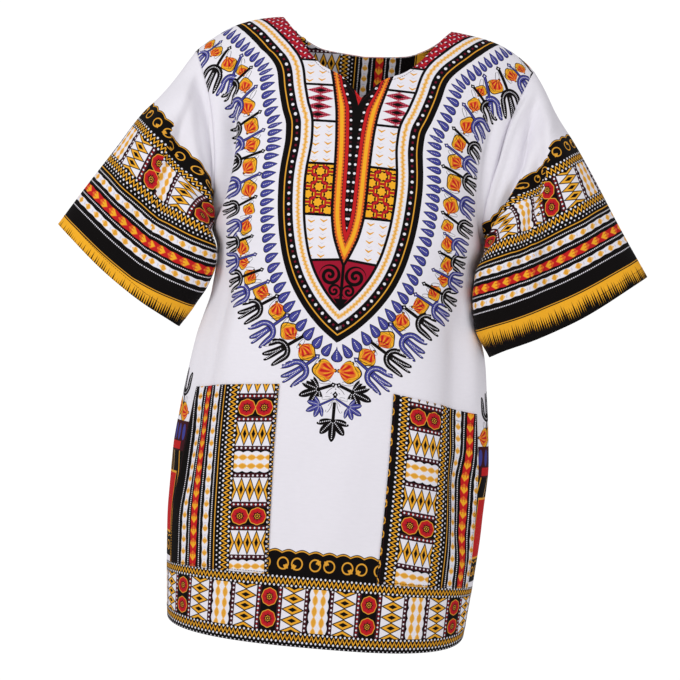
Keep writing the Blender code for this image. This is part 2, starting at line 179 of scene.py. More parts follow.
# Soft folds in the body. across is a share of the half width, and depth is out of the cloth.
# They fade out over this share of the half width at a side seam, over this height below the top edge,
# and towards their own ends.
SEAM_FADE = 0.12
TOP_FADE = 0.06
FOLD_HOLD = 1.6
BODY_FOLD_COLUMNS = "across lean low high width depth"
FRONT_FOLDS = named(BODY_FOLD_COLUMNS, (
    (-0.720, -0.06, -0.640, -0.290, 0.110, -0.0085),
    (-0.480, -0.04, -0.760, -0.400, 0.090, 0.0035),
    (0.640, 0.06, -0.650, -0.280, 0.100, -0.0090),
    (0.840, 0.02, -0.640, -0.330, 0.080, 0.0050),
    (0.420, 0.05, -0.760, -0.420, 0.090, 0.0040),
    (-0.880, 0.10, -0.330, -0.090, 0.110, -0.0060),
    (0.860, -0.10, -0.330, -0.080, 0.110, -0.0065),
))
BACK_FOLDS = named(BODY_FOLD_COLUMNS, (
    (-0.620, -0.05, -0.770, -0.300, 0.110, -0.0095),
    (-0.270, -0.03, -0.790, -0.360, 0.120, 0.0070),
    (0.110, 0.03, -0.790, -0.330, 0.100, -0.0085),
    (0.460, 0.05, -0.790, -0.350, 0.110, 0.0075),
    (0.740, 0.04, -0.760, -0.310, 0.090, -0.0090),
    (-0.860, 0.08, -0.330, -0.090, 0.110, -0.0060),
    (0.860, -0.08, -0.330, -0.090, 0.110, -0.0060),
))

# Soft folds in the sleeves. around runs from the top line (0) over the front to the underarm (0.5)
# and up the back to 1.
SLEEVE_FOLDS = named("around around_end low high width depth", (
    (0.110, 0.150, 0.02, 0.80, 0.045, 0.0065),
    (0.205, 0.260, 0.04, 0.95, 0.055, -0.0090),
    (0.340, 0.360, 0.10, 1.20, 0.070, 0.0050),
    (0.900, 0.850, 0.05, 0.90, 0.055, 0.0050),
    (0.795, 0.730, 0.05, 1.05, 0.060, -0.0085),
    (0.640, 0.640, 0.15, 1.20, 0.070, 0.0045),
))
SLEEVE_FOLD_HOLD = 2.0

# Finer soft creases that only the drawn cloth has
FRONT_CREASES = named(BODY_FOLD_COLUMNS, (
    (-0.925, 0.12, -0.340, -0.070, 0.056, -0.0160),
    (-0.800, 0.08, -0.310, -0.110, 0.040, 0.0050),
    (0.930, -0.10, -0.320, -0.080, 0.044, -0.0105),
    (-0.860, 0.02, -0.520, -0.270, 0.040, 0.0040),
    (-0.680, -0.05, -0.520, -0.300, 0.034, -0.0034),
    (-0.560, -0.02, -0.470, -0.330, 0.028, 0.0018),
    (0.600, 0.05, -0.540, -0.350, 0.034, -0.0036),
    (0.750, 0.04, -0.500, -0.290, 0.038, 0.0038),
    (0.660, -0.04, -0.670, -0.520, 0.048, -0.0075),
    (-0.700, 0.03, -0.640, -0.480, 0.036, -0.0030),
    (0.070, 0.05, -0.690, -0.500, 0.060, 0.0022),
    (-0.130, -0.06, -0.700, -0.520, 0.050, -0.0020),
))
BACK_CREASES = named(BODY_FOLD_COLUMNS, (
    (-0.780, 0.10, -0.330, -0.110, 0.044, -0.0060),
    (0.840, -0.12, -0.320, -0.100, 0.046, -0.0065),
    (-0.400, 0.06, -0.600, -0.260, 0.040, 0.0034),
    (0.300, -0.05, -0.560, -0.240, 0.038, -0.0036),
    (0.600, 0.04, -0.700, -0.420, 0.040, 0.0040),
    (-0.080, 0.03, -0.500, -0.180, 0.050, 0.0026),
))


# Rolls of cloth that follow the armhole seam on each sleeve: how far down the sleeve, and out of it.
# They are nothing near the underarm and the top line, as shares of the way round.
ROLLS = both_sides(
    "along width depth",
    ((0.035, 0.030, -0.0065), (0.130, 0.044, 0.0060), (0.240, 0.040, -0.0020)),
    ((0.050, 0.022, 0.0090), (0.118, 0.024, -0.0125), (0.190, 0.032, 0.0060)))
ROLL_SWAY = 0.02
ROLL_UNDER = 0.47
ROLL_TOP = 0.04

# The tuck down the front of each sleeve, in metres: its way from the top line at a height above the cuff,
# how high the fold stands, how sharp its edge is, how far it swells, and the heights that it fades between
TUCKS = both_sides(
    "up around",
    ((0.065, 0.146), (0.094, 0.132), (0.171, 0.102), (0.204, 0.078), (0.258, 0.040)),
    ((0.065, 0.180), (0.122, 0.154), (0.169, 0.116), (0.211, 0.076), (0.268, 0.030)))
TUCK_HEIGHT = {RIGHT: 0.0032, LEFT: 0.0052}
TUCK_EDGE = 0.0042
TUCK_SWELL = 0.026
TUCK_FOOT = 0.03
TUCK_TOP = 0.275

# How each sleeve's underarm lies in against the body and forward of it, in metres, over which shares of the
# way round, and how far a fold of it then lies over the edge of the body
UNDERARM = both_sides(
    "along inward forward",
    ((0.00, 0.0, 0.0), (0.10, 0.008, 0.002), (0.25, 0.0125, 0.004), (0.40, 0.012, 0.005),
     (0.57, 0.008, 0.005), (0.80, 0.002, 0.002), (1.00, 0.0, 0.0)),
    ((0.00, 0.0, 0.0), (0.12, 0.010, 0.003), (0.30, 0.0135, 0.006), (0.50, 0.0105, 0.008),
     (0.74, 0.0075, 0.008), (1.00, 0.004, 0.004)))
UNDERARM_START = 0.22
UNDERARM_END = 0.72
UNDERARM_FADE = 0.16
OVERLAY = 0.007
OVERLAY_AT = 0.43
OVERLAY_WIDTH = 0.05
OVERLAY_INWARD = 0.0125

# How finely the cloth is drawn
HALF_STRIPS = 64
SKIRT_ROWS = 100
CHEST_ROWS = 78
SLEEVE_RINGS = 72
SHELL = 0.0011
POCKET_LIFT = 0.0019


def smooth(xs, ys, at):
    """A curve through a table's points that never overshoots them."""
    steps = np.diff(xs)
    slopes_between = np.diff(ys) / steps
    before = slopes_between[:-1]
    after = slopes_between[1:]
    total = np.where(before + after == 0, 1.0, before + after)
    slopes = np.empty_like(ys)
    slopes[0] = slopes_between[0]
    slopes[-1] = slopes_between[-1]
    slopes[1:-1] = np.where(before * after > 0, 2 * before * after / total, 0.0)
    at = np.clip(at, xs[0], xs[-1])
    piece = np.clip(np.searchsorted(xs, at) - 1, 0, len(xs) - 2)
    t = (at - xs[piece]) / steps[piece]
    low = (1 + 2 * t) * (1 - t) ** 2 * ys[piece] + t * (1 - t) ** 2 * steps[piece] * slopes[piece]
    high = t * t * (3 - 2 * t) * ys[piece + 1] - t * t * (1 - t) * steps[piece] * slopes[piece + 1]
    return low + high


def read(table, column, at):
    """One column of a table at any value of its first column."""
    return smooth(next(iter(table.values())), table[column], at)


def ease(value):
    """0 to 1 with soft ends."""
    value = np.clip(value, 0.0, 1.0)
    return value * value * (3 - 2 * value)


def run_lengths(*steps):
    """Length along a line of points from its start, from the steps in each direction."""
    return np.concatenate([[0.0], np.cumsum(np.sqrt(sum(step * step for step in steps)))])


def ridge_height(x):
    """Height of the shoulder ridge, with the wearer's left shoulder a little higher."""
    out = np.abs(x)
    tilt = SHOULDER_TILT * x * ease((out - NECK_HALF) / (SHOULDER_HALF - NECK_HALF))
    return read(RIDGE, "height", out) + tilt


def section(height, is_front, side):
    """Half a level section of the body, from the centre line to the seam: x, depth, length so far."""
    edge_angle = math.radians(float(read(BODY, "edge_angle", height)))
    depth = float(read(BODY, "front_depth" if is_front else "back_depth", height))
    half_width = float(read(BODY, "edge_out", height)) / math.sin(edge_angle) ** SECTION_POWER
    angles = np.linspace(0.0, edge_angle, SECTION_POINTS)
    x = half_width * np.sin(angles) ** SECTION_POWER
    y = depth * np.maximum(np.cos(angles), 0.0) ** SECTION_POWER
    below = np.clip((ridge_height(side * x) - height) / RIDGE_ROUNDING, 0.0, 1.0)
    y = y * (1 - (1 - below) ** RIDGE_POWER) ** (1 / RIDGE_POWER)
    return x, y, run_lengths(np.diff(x), np.diff(y))


def side_of(across):
    """The wearer's side that a place across the shirt is on."""
    return RIGHT if across < 0 else LEFT


def body_point(share, height, is_front):
    """A point of the body and its length from the centre line, at a share of the half width."""
    side = side_of(share)
    x, depth, runs = section(height, is_front, side)
    at = abs(share) * runs[-1]
    y = np.interp(at, runs, depth)
    return side * np.interp(at, runs, x), -y if is_front else y, height, side * at


def top_share(x, height, is_front):
    """The share of the half width at which a level section reaches x."""
    side = side_of(x)
    xs, _, runs = section(height, is_front, side)
    return side * float(np.interp(abs(x), xs, runs / runs[-1]))


def armhole_heights(is_front, side):
    """Heights on the armhole edge at even steps along it, from the armpit up to the shoulder."""
    shoulder = float(ridge_height(side * SHOULDER_HALF))
    heights = np.linspace(ARMPIT, shoulder, ARMHOLE_POINTS)
    points = np.array([body_point(side, height, is_front)[:3] for height in heights])
    runs = run_lengths(*np.diff(points, axis=0).T)
    return np.interp(np.linspace(0.0, runs[-1], CHEST_ROWS + 1), runs, heights)


def fold_offset(shares, heights, folds):
    """How far the folds move points of the body out of its plain form."""
    offset = np.zeros_like(heights)
    for across, lean, low, high, width, depth in zip(*folds.values()):
        middle = (low + high) / 2
        centre = across + lean * (heights - middle) / (high - low)
        near = np.exp(-2 * ((shares - centre) * 2 * HALF_PANEL / width) ** 2)
        reach = 1 - np.minimum(1.0, np.abs(heights - middle) / ((high - low) / 2))
        offset += depth * near * ease(reach * FOLD_HOLD)
    return offset


def grid_normals(points, is_ring):
    """Normals of a grid of points, out of the cloth."""
    if is_ring:
        wrapped = np.concatenate([points[:, -1:], points, points[:, :1]], axis=1)
        across = np.gradient(wrapped, axis=1)[:, 1:-1]
    else:
        across = np.gradient(points, axis=1)
    normals = np.cross(across, np.gradient(points, axis=0))
    return normals / np.maximum(np.linalg.norm(normals, axis=2), 1e-12)[:, :, None]


def body_panel(is_front):
    """Middle surface of the front or back, hem first: points, and their place on the flat cloth."""
    shares = np.linspace(-1.0, 1.0, 2 * HALF_STRIPS + 1)
    neck = FRONT_NECK if is_front else BACK_NECK
    low_rows = np.linspace(HEM, ARMPIT, SKIRT_ROWS + 1)
    columns = []
    for share in shares:
        side = side_of(share)
        x_top = side * float(read(TOP, "out", abs(share)))
        if abs(share) <= NECK_SHARE:
            top = float(read(neck, "height", abs(x_top)))
        else:
            top = float(ridge_height(x_top))
        reach = top_share(x_top, top, is_front)
        edge = EDGES[is_front, side]
        lift = (HEM_RISE_RIGHT if share < 0 else HEM_RISE_LEFT) * share ** HEM_RISE_POWER
        lifts = lift * ease((POCKET_FOOT - low_rows) / HEM_BAND)
        points = [body_point(share, height, is_front) for height in low_rows + lifts]
        for step in range(1, CHEST_ROWS + 1):
            rise = step / CHEST_ROWS
            crowded = 1 - (1 - rise) ** TOP_CROWDING
            on_edge = (edge[step] - ARMPIT) / (edge[-1] - ARMPIT)
            climb = crowded + (on_edge - crowded) * abs(share) ** EDGE_POWER
            height = ARMPIT + (top - ARMPIT) * climb
            points.append(body_point(share + (reach - share) * ease(rise), height, is_front))
        if abs(share) >= NECK_SHARE:
            points[-1] = (x_top, 0.0, top, points[-1][3])
        columns.append(points)
    grid = np.array(columns).transpose(1, 0, 2)
    points, across = grid[:, :, :3], grid[:, :, 3]
    climbs = np.linalg.norm(np.diff(points[SKIRT_ROWS:], axis=0), axis=2)
    up = points[:, :, 2].copy()
    up[SKIRT_ROWS + 1:] = up[SKIRT_ROWS] + np.cumsum(climbs, axis=0)
    shares = np.broadcast_to(shares, up.shape)
    if not is_front:
        points, across, up, shares = points[:, ::-1], across[:, ::-1], up[:, ::-1], shares[:, ::-1]
    offset = np.zeros_like(up)
    for folds in (FRONT_FOLDS, FRONT_CREASES) if is_front else (BACK_FOLDS, BACK_CREASES):
        offset = offset + fold_offset(shares, points[:, :, 2], folds)
    offset *= ease((1 - np.abs(shares)) / SEAM_FADE)
    offset *= ease((points[-1, :, 2] - points[:, :, 2]) / TOP_FADE)
    points = points + grid_normals(points, False) * offset[:, :, None]
    return points, across, up, shares


def ring_points(rows, along, count):
    """A plain sleeve ring, from its top line over the front to the underarm and up the back."""
    top = np.array([read(rows, name, along) for name in ("top_out", "top_y", "top_height")])
    low = np.array([read(rows, name, along) for name in ("low_out", "low_y", "low_height")])
    angles = np.linspace(0.0, math.pi, RING_POINTS)
    half = np.linalg.norm(top - low) / 2
    rise = half * np.sign(np.cos(angles)) * np.abs(np.cos(angles)) ** SLEEVE_POWER
    out = read(rows, "half_depth", along) * np.sin(angles) ** SLEEVE_POWER
    runs = run_lengths(np.diff(rise), np.diff(out))
    around = np.arange(count) / count
    run = np.where(around <= 0.5, 2 * around, 2 * (1 - around)) * runs[-1]
    depth = np.interp(run, runs, out) * np.where(around <= 0.5, -1.0, 1.0)
    direction = (top - low) / np.linalg.norm(top - low)
    return (top + low) / 2 + direction * np.interp(run, runs, rise)[:, None] + depth[:, None] * [0, 1, 0]


def sleeve_fold_offset(around, along):
    """How far the folds move points of a sleeve out of its plain form."""
    offset = np.zeros_like(around)
    for start, end, low, high, width, depth in zip(*SLEEVE_FOLDS.values()):
        gap = np.abs(around - (start + (end - start) * along))
        gap = np.minimum(gap, 1 - gap)
        reach = 1 - np.minimum(1.0, np.abs(along - (low + high) / 2) / ((high - low) / 2))
        offset += depth * np.exp(-((gap / width) ** 2)) * ease(reach * SLEEVE_FOLD_HOLD)
    return offset


def sleeve_crease_offset(around, along, across, up, side):
    """How far the tuck and the rolls by the armhole move points of a sleeve out of its plain form."""
    past = across - read(TUCKS[side], "around", up)
    lap = -np.tanh(past / TUCK_EDGE) * np.exp(-((past / TUCK_SWELL) ** 2))
    fade = ease((up - TUCK_FOOT) / 0.06) * ease((TUCK_TOP - up) / 0.05)
    offset = TUCK_HEIGHT[side] * lap * fade * (around < 0.5)
    from_top = np.minimum(around, 1 - around)
    fade = ease((ROLL_UNDER - from_top) / 0.08) * ease((from_top - ROLL_TOP) / 0.12)
    for place, width, depth in zip(*ROLLS[side].values()):
        sway = place + ROLL_SWAY * np.sin(around * 11.0 + place * 40.0)
        offset += depth * np.exp(-(((along - sway) / width) ** 2)) * fade
    return offset * ease(along / 0.03)


def sleeve_runs(rings):
    """For points of a sleeve, the way round it from the top line and the way up from the cuff."""
    steps = np.linalg.norm(np.diff(rings, axis=0), axis=2)
    down = np.concatenate([np.cumsum(steps[::-1], axis=0)[::-1], np.zeros((1, rings.shape[1]))])
    closed = np.concatenate([rings, rings[:, :1]], axis=1)
    across = np.cumsum(np.linalg.norm(np.diff(closed, axis=1), axis=2), axis=1)
    return np.concatenate([np.zeros((len(rings), 1)), across[:, :-1]], axis=1), down


def sleeve(rows, side, armhole):
    """Middle surface of a sleeve, armhole first: points, and their place on the flat cloth."""
    count = len(armhole)
    centre = armhole.mean(axis=0)
    around = np.arange(count) / count
    rings = [armhole]
    first = ring_points(rows, 0.0, count).mean(axis=0) * [side, 1.0, 1.0]
    for step in range(1, SLEEVE_RINGS + 1):
        along = step / SLEEVE_RINGS
        ring = ring_points(rows, along, count)
        ring[:, 0] *= side
        fall = (ring[count // 2] - ring[0]) / np.linalg.norm(ring[count // 2] - ring[0])
        axis = np.array([-fall[2], 0.0, fall[0]]) * side
        ring += (CUFF_DIP * ease(along) * np.sin(2 * math.pi * around) ** 2)[:, None] * axis
        blend = ease(along / ARMHOLE_REACH)
        start = armhole + (ring.mean(axis=0) - first) + (first - centre) * blend
        ring = start + (ring - start) * blend
        under = ease((around - UNDERARM_START) / UNDERARM_FADE)
        under *= ease((UNDERARM_END - around) / UNDERARM_FADE)
        inward, forward = (float(read(UNDERARM[side], name, along)) for name in ("inward", "forward"))
        near = np.exp(-(((around - OVERLAY_AT) / OVERLAY_WIDTH) ** 2))
        over_body = OVERLAY * near * inward / OVERLAY_INWARD
        ring[:, 0] -= side * (inward * under + over_body)
        ring[:, 1] -= forward * under
        rings.append(ring)
    rings = np.array(rings)
    normals = grid_normals(rings, True)
    outward = np.sign((normals * (rings - rings.mean(axis=1)[:, None])).sum())
    alongs = np.broadcast_to((np.arange(SLEEVE_RINGS + 1) / SLEEVE_RINGS)[:, None], rings.shape[:2])
    arounds = np.broadcast_to(around, alongs.shape)
    offset = sleeve_fold_offset(arounds, alongs)
    offset += sleeve_crease_offset(arounds, alongs, *sleeve_runs(rings), side)
    offset[0] = 0.0
    rings = rings + outward * normals * offset[:, :, None]
    return rings, *sleeve_runs(rings)


def rim_quads(rows, columns, is_ring):
    """Quads round the open edges of a shell, each with the number of the quad it borders."""
    count = rows * columns
    strips = columns if is_ring else columns - 1
    places = np.arange(strips)
    beside = (places + 1) % columns
    top = (rows - 1) * columns
    rims = [(beside, places, places), (top + places, top + beside, (rows - 2) * strips + places)]
    if not is_ring:
        steps = np.arange(rows - 1)
        near = steps * columns
        far = near + columns - 1
        rims += [(near, near + columns, steps * strips), (far + columns, far, steps * strips + strips - 1)]
    quads = [np.stack([a, b, b + count, a + count], axis=-1) for a, b, _ in rims]
    return np.concatenate(quads), np.concatenate([owner for _, _, owner in rims])


# The bake map's margin, and the strip along its top that holds the rims
MARGIN = 0.01
RIM_FOOT = 0.994
RIM_HIGH = 0.005


def bake_places(rows, columns, is_ring, faces, layer):
    """A map that lays the two sides of a shell beside each other, and the rims in a thin margin."""
    count = rows * columns
    index = faces % count
    row, place = index // columns, index % columns
    place = np.where(is_ring & (place == 0) & (place.max(axis=1, keepdims=True) == columns - 1),
                     columns, place)
    across = place / (columns if is_ring else columns - 1)
    up = row / (rows - 1)
    is_inner = layer[:, None] == 1
    if is_ring:
        u = MARGIN + (1 - 2 * MARGIN) * across
        v = MARGIN + 0.5 * is_inner + (0.5 - 2 * MARGIN) * up
    else:
        u = MARGIN + (0.5 - MARGIN / 2) * is_inner + (0.5 - 1.5 * MARGIN) * across
        v = MARGIN + (1 - 2 * MARGIN) * up
    is_rim = layer[:, None] == 2
    order = np.arange(len(faces))[:, None] / len(faces)
    corner = np.array([[0.0, 1.0, 1.0, 0.0]])
    depth = np.array([[0.0, 0.0, 1.0, 1.0]])
    u = np.where(is_rim, order + corner / len(faces), u)
    v = np.where(is_rim, RIM_FOOT + RIM_HIGH * depth, v)
    return np.stack([u, v], axis=-1).reshape(-1)


def add_object(name, data):
    """An object in the scene."""
    made = bpy.data.objects.new(name, data)
    bpy.context.scene.collection.objects.link(made)
    return made


def cloth(name, points, normals, thick, values, zones, materials, is_ring=False, placed=None):
    """A thin shell of cloth about a grid of points.

    values are named vectors kept at the points, of which the last number of "cloth" becomes 1 on the inner
    side. zones is the number of the material of each quad. placed has, by name, the axes of each quad's own
    motif in the plane of the print, and a number kept with the place in them.
    """
    rows, columns = points.shape[:2]
    count = rows * columns
    strips = columns if is_ring else columns - 1
    outer = (points + normals * thick / 2).reshape(-1, 3)
    inner = (points - normals * thick / 2).reshape(-1, 3)
    row, place = np.meshgrid(np.arange(rows - 1), np.arange(strips), indexing="ij")
    a = row * columns + place
    b = row * columns + (place + 1) % columns
    quads = np.stack([a, b, b + columns, a + columns], axis=-1).reshape(-1, 4)
    rims, owners = rim_quads(rows, columns, is_ring)
    faces = np.concatenate([quads, quads[:, ::-1] + count, rims])
    layer = np.repeat([0, 1, 2], [len(quads), len(quads), len(rims)])
    flat_zones = np.broadcast_to(zones, (rows - 1, strips)).ravel()
    numbers = np.concatenate([flat_zones, flat_zones, flat_zones[owners]])
    mesh = bpy.data.meshes.new(name)
    mesh.from_pydata(np.concatenate([outer, inner]).tolist(), [], faces.tolist())
    for material in materials:
        mesh.materials.append(material)
    mesh.polygons.foreach_set("material_index", numbers.astype(np.int32))
    mesh.polygons.foreach_set("use_smooth", layer != 2)
    for label, value in values.items():
        both = np.concatenate([value.reshape(-1, 3)] * 2).astype(np.float32)
        if label == "cloth":
            both[count:, 2] = 1.0
        kept = mesh.attributes.new(label, "FLOAT_VECTOR", "POINT")
        kept.data.foreach_set("vector", both.ravel())
    owner = np.concatenate([np.arange(len(quads)), np.arange(len(quads)), owners])
    for label, (spots, axes, number) in (placed or {}).items():
        at = spots.reshape(-1, spots.shape[-1])[faces % count]
        there = np.einsum("qij,qcj->qci", axes[owner], at)
        numbers = np.broadcast_to(number[owner][:, None, None], there.shape[:2] + (1,))
        kept = mesh.attributes.new(label, "FLOAT_VECTOR", "CORNER")
        kept.data.foreach_set("vector", np.concatenate([there, numbers], axis=2).astype(np.float32).ravel())
    places = mesh.uv_layers.new(name="OFBake")
    places.data.foreach_set("uv", bake_places(rows, columns, is_ring, faces, layer).astype(np.float32))
    return add_object(name, mesh)


# Colours, as the linear light that a shader takes
WHITE = (0.800, 0.780, 0.835)
BLACK = (0.004, 0.003, 0.003)
MAROON = (0.048, 0.008, 0.012)
OCHRE = (0.740, 0.350, 0.035)
YELLOW = (0.860, 0.410, 0.022)
ORANGE = (0.740, 0.150, 0.022)
RED = (0.520, 0.014, 0.016)
CRIMSON = (0.330, 0.008, 0.028)
BLUE = (0.052, 0.054, 0.270)
WINE = (0.150, 0.006, 0.022)
PALE = (0.620, 0.600, 0.680)
STRAW = (0.850, 0.520, 0.200)
ROSE = (0.600, 0.160, 0.220)
WRONG_SIDE = (0.640, 0.610, 0.640)
SHOWS_FAINTLY = 0.62
SOFT_EDGE = 0.30

# The finish of the cotton and of the sewing thread, the step of the weave, and how uneven its threads are
COTTON = {"Roughness": 0.90, "Sheen Weight": 0.02, "Sheen Roughness": 0.5, "Specular IOR Level": 0.08}
THREAD = {"Roughness": 0.85, "Specular IOR Level": 0.15}
THREAD_STEP = 1.1
UNEVEN_THREAD = 0.05


class Value:
    """A number in a node tree, so that sums of them read as sums."""

    def __init__(self, tree, socket):
        self.tree = tree
        self.socket = socket

    def __add__(self, other):
        return work("ADD", self, other)

    __radd__ = __add__

    def __sub__(self, other):
        return work("SUBTRACT", self, other)

    def __rsub__(self, other):
        return work("SUBTRACT", other, self)

    def __mul__(self, other):
        return work("MULTIPLY", self, other)

    __rmul__ = __mul__

    def __truediv__(self, other):
        return work("DIVIDE", self, other)


def work(operation, *values, clamp=False):
    """A math node, fed with values or plain numbers."""
    tree = next(value.tree for value in values if isinstance(value, Value))
    node = tree.nodes.new("ShaderNodeMath")
    node.operation = operation
    node.use_clamp = clamp
    for value, socket in zip(values, node.inputs):
        if isinstance(value, Value):
            tree.links.new(value.socket, socket)
        else:
            socket.default_value = value
    return Value(tree, node.outputs[0])


def size(value):
    """A value without its sign."""
    return work("ABSOLUTE", value)


def lower(a, b):
    """The lower of two values."""
    return work("MINIMUM", a, b)


def higher(a, b):
    """The higher of two values."""
    return work("MAXIMUM", a, b)


def over(a, b):
    """1 where a is more than b, 0 elsewhere."""
    return work("GREATER_THAN", a, b)


def root(value):
    """Square root, and 0 below 0."""
    return work("SQRT", higher(value, 0.0))


def length(u, v):
    """Distance from where both values are 0."""
    return root(u * u + v * v)


def wave(value, period):
    """-1 to 1 and back in each period."""
    return work("SINE", value / period * (2 * math.pi))


def cell(value, period):
    """Distance from the middle of the repeat that holds the value, which lies between two repeats at 0."""
    return (work("FRACT", value / period) - 0.5) * period


def cell_number(value, period):
    """The whole number of the repeat that holds the value."""
    return work("FLOOR", value / period)


def odd(number):
    """1 for odd whole numbers, 0 for even ones."""
    return over(work("FRACT", number * 0.5 + 0.25), 0.5)


def inside(distance, soft=SOFT_EDGE):
    """1 where a distance is below 0, with a soft edge."""
    return work("MULTIPLY_ADD", distance, -1 / soft, 0.5, clamp=True)


def band(value, start, end, soft=SOFT_EDGE):
    """1 where a value lies between a start and an end, with soft edges."""
    return inside(size(value - (start + end) / 2) - (end - start) / 2, soft)


def turned(u, v, angle):
    """The same place in axes turned by an angle."""
    return u * math.cos(angle) + v * math.sin(angle), v * math.cos(angle) - u * math.sin(angle)


class Paint:
    """A colour that marks are laid over, one after another."""

    def __init__(self, tree, colour):
        self.tree = tree
        self.colour = colour

    def lay(self, colour, mask):
        """Lay a colour, or another paint, where the mask is 1."""
        node = self.tree.nodes.new("ShaderNodeMix")
        node.data_type = "RGBA"
        node.clamp_factor = True
        self.tree.links.new(mask.socket, node.inputs["Factor"])
        for given, socket in ((self.colour, node.inputs[6]), (colour, node.inputs[7])):
            given = given.colour if isinstance(given, Paint) else given
            if isinstance(given, tuple):
                socket.default_value = given + (1.0,)
            else:
                self.tree.links.new(given, socket)
        self.colour = node.outputs[2]
        return self


def effect(name, inputs, outputs):
    """A node group with named sockets: the tree, its inputs as values, and its output node."""
    tree = bpy.data.node_groups.new(name, "ShaderNodeTree")
    for label in inputs:
        tree.interface.new_socket(label, in_out="INPUT", socket_type="NodeSocketFloat")
    for label, kind in outputs:
        tree.interface.new_socket(label, in_out="OUTPUT", socket_type=kind)
    given = tree.nodes.new("NodeGroupInput")
    result = tree.nodes.new("NodeGroupOutput")
    return tree, [Value(tree, given.outputs[label]) for label in inputs], result


def finish_paint(paint, result):
    """Send a paint's last colour to a group's output."""
    paint.tree.links.new(paint.colour, result.inputs["Color"])


# The border, up from the foot of its tile band, in millimetres. Below it come stripes down to the edge.
REPEAT = 131.0
STRIPES = named("start end colour", (
    (20.2, 21.4, 0),
    (25.0, 26.3, 1),
    (42.1, 43.4, 1),
    (59.8, 61.1, 1),
    (79.0, 80.3, 1),
    (98.2, 99.2, 0),
    (100.6, 150.0, 2),
))
CHAINS = ((33.8, 4.3, False), (52.3, 5.3, True), (69.4, 4.3, False))
CHAIN_STEP = 14.8
RED_CHAIN_STEP = 15.4
ZIGZAG_STEP = 5.8
ZIGZAG_BAND = 14.2
ZIGZAG_STEEP = 2.1
ZIGZAG_HALF = 1.75
ZIGZAG_DOT = 1.25
ZIGZAG_DOT_AT = 2.0
RING_STEP = 20.5

# The links of a chain, for yellow on red and for small ones on white. Each part has its colour and, in shares
# of a link, its start, how that slants outwards, its end, and how that draws in. Then how wide the links are.
LINKS = {
    True: ((ORANGE, 0.03, 0.40, 0.90, 0.30), (YELLOW, 0.10, 0.40, 0.60, 0.05)),
    False: ((STRAW, 0.20, 0.20, 0.84, 0.34), (OCHRE, 0.26, 0.26, 0.62, 0.08)),
}
LINK_WIDTH = {True: 0.86, False: 0.80}
CHAIN_SWELL = 0.35


def lay_zigzag(paint, along, rise, shown):
    """A bold zigzag between two rows of white dots; rise runs from 0 to about 14 across the band."""
    tooth = size(cell(along, ZIGZAG_STEP))
    half = ZIGZAG_STEP / 2
    line = size(rise - ZIGZAG_BAND / 2 + (tooth - half / 2) * ZIGZAG_STEEP) - ZIGZAG_HALF
    paint.lay(OCHRE, inside(line + 0.2) * shown)
    paint.lay(YELLOW, inside(line + 1.0) * shown)
    low = length(tooth, (rise - ZIGZAG_DOT_AT) * 0.9)
    high = length(size(cell(along + half, ZIGZAG_STEP)), (rise - (ZIGZAG_BAND - ZIGZAG_DOT_AT)) * 0.9)
    paint.lay(WHITE, inside(lower(low, high) - ZIGZAG_DOT) * shown)


def lay_chain(paint, along, rise, half, is_red, shown):
    """A stripe of arrow-shaped links that swells at each of them: yellow on red, or small ones on white."""
    step = RED_CHAIN_STEP if is_red else CHAIN_STEP
    place = work("FRACT", along / step)
    swell = half - CHAIN_SWELL + CHAIN_SWELL * wave(along, step)
    stripe = inside(size(rise) - swell) * shown
    paint.lay(RED if is_red else WHITE, stripe)
    aside = size(rise) / half
    body = inside(aside - LINK_WIDTH[is_red], 0.1) * stripe
    for colour, start, slant, end, draw_in in LINKS[is_red]:
        paint.lay(colour, over(place, aside * slant + start) * over(end - aside * draw_in, place) * body)
    if is_red:
        paint.lay(RED, inside(size(aside - 0.34) - 0.07, 0.1) * over(place, 0.42) * body)
    else:
        paint.lay(PALE, inside(aside - 0.40, 0.1) * over(place, 0.88) * stripe)


# The columns of half a repeat of tiles, out from its middle: a wavy chain, a dotted bar, diamonds, a dotted
# stripe, and then the red flowers
CHAIN_MIDDLE = 5.2
CHAIN_END = 9.5
BAR_MIDDLE = 14.0
BAR_END = 19.2
DIAMONDS_END = 48.2
DOTS_END = 54.8
DIAMOND_HALF = 14.6
TILE_DOT = 1.15
TILE_DOT_STEP = 5.4
DIAMOND_LAYERS = ((1.07, BLACK), (0.86, OCHRE), (0.70, YELLOW), (0.52, OCHRE), (0.42, BLACK))

# The rings of a red flower from the outside in: how far out, how deep its lobes, and its colour
PETALS = 8
PETAL_LAYERS = (
    (10.4, 0.3, OCHRE), (9.5, 0.3, RED), (6.4, 0.7, CRIMSON), (5.5, 0.7, RED),
    (4.6, 0.8, BLACK), (3.0, 0.6, OCHRE), (2.2, 0.0, BLACK), (0.9, 0.0, OCHRE),
)


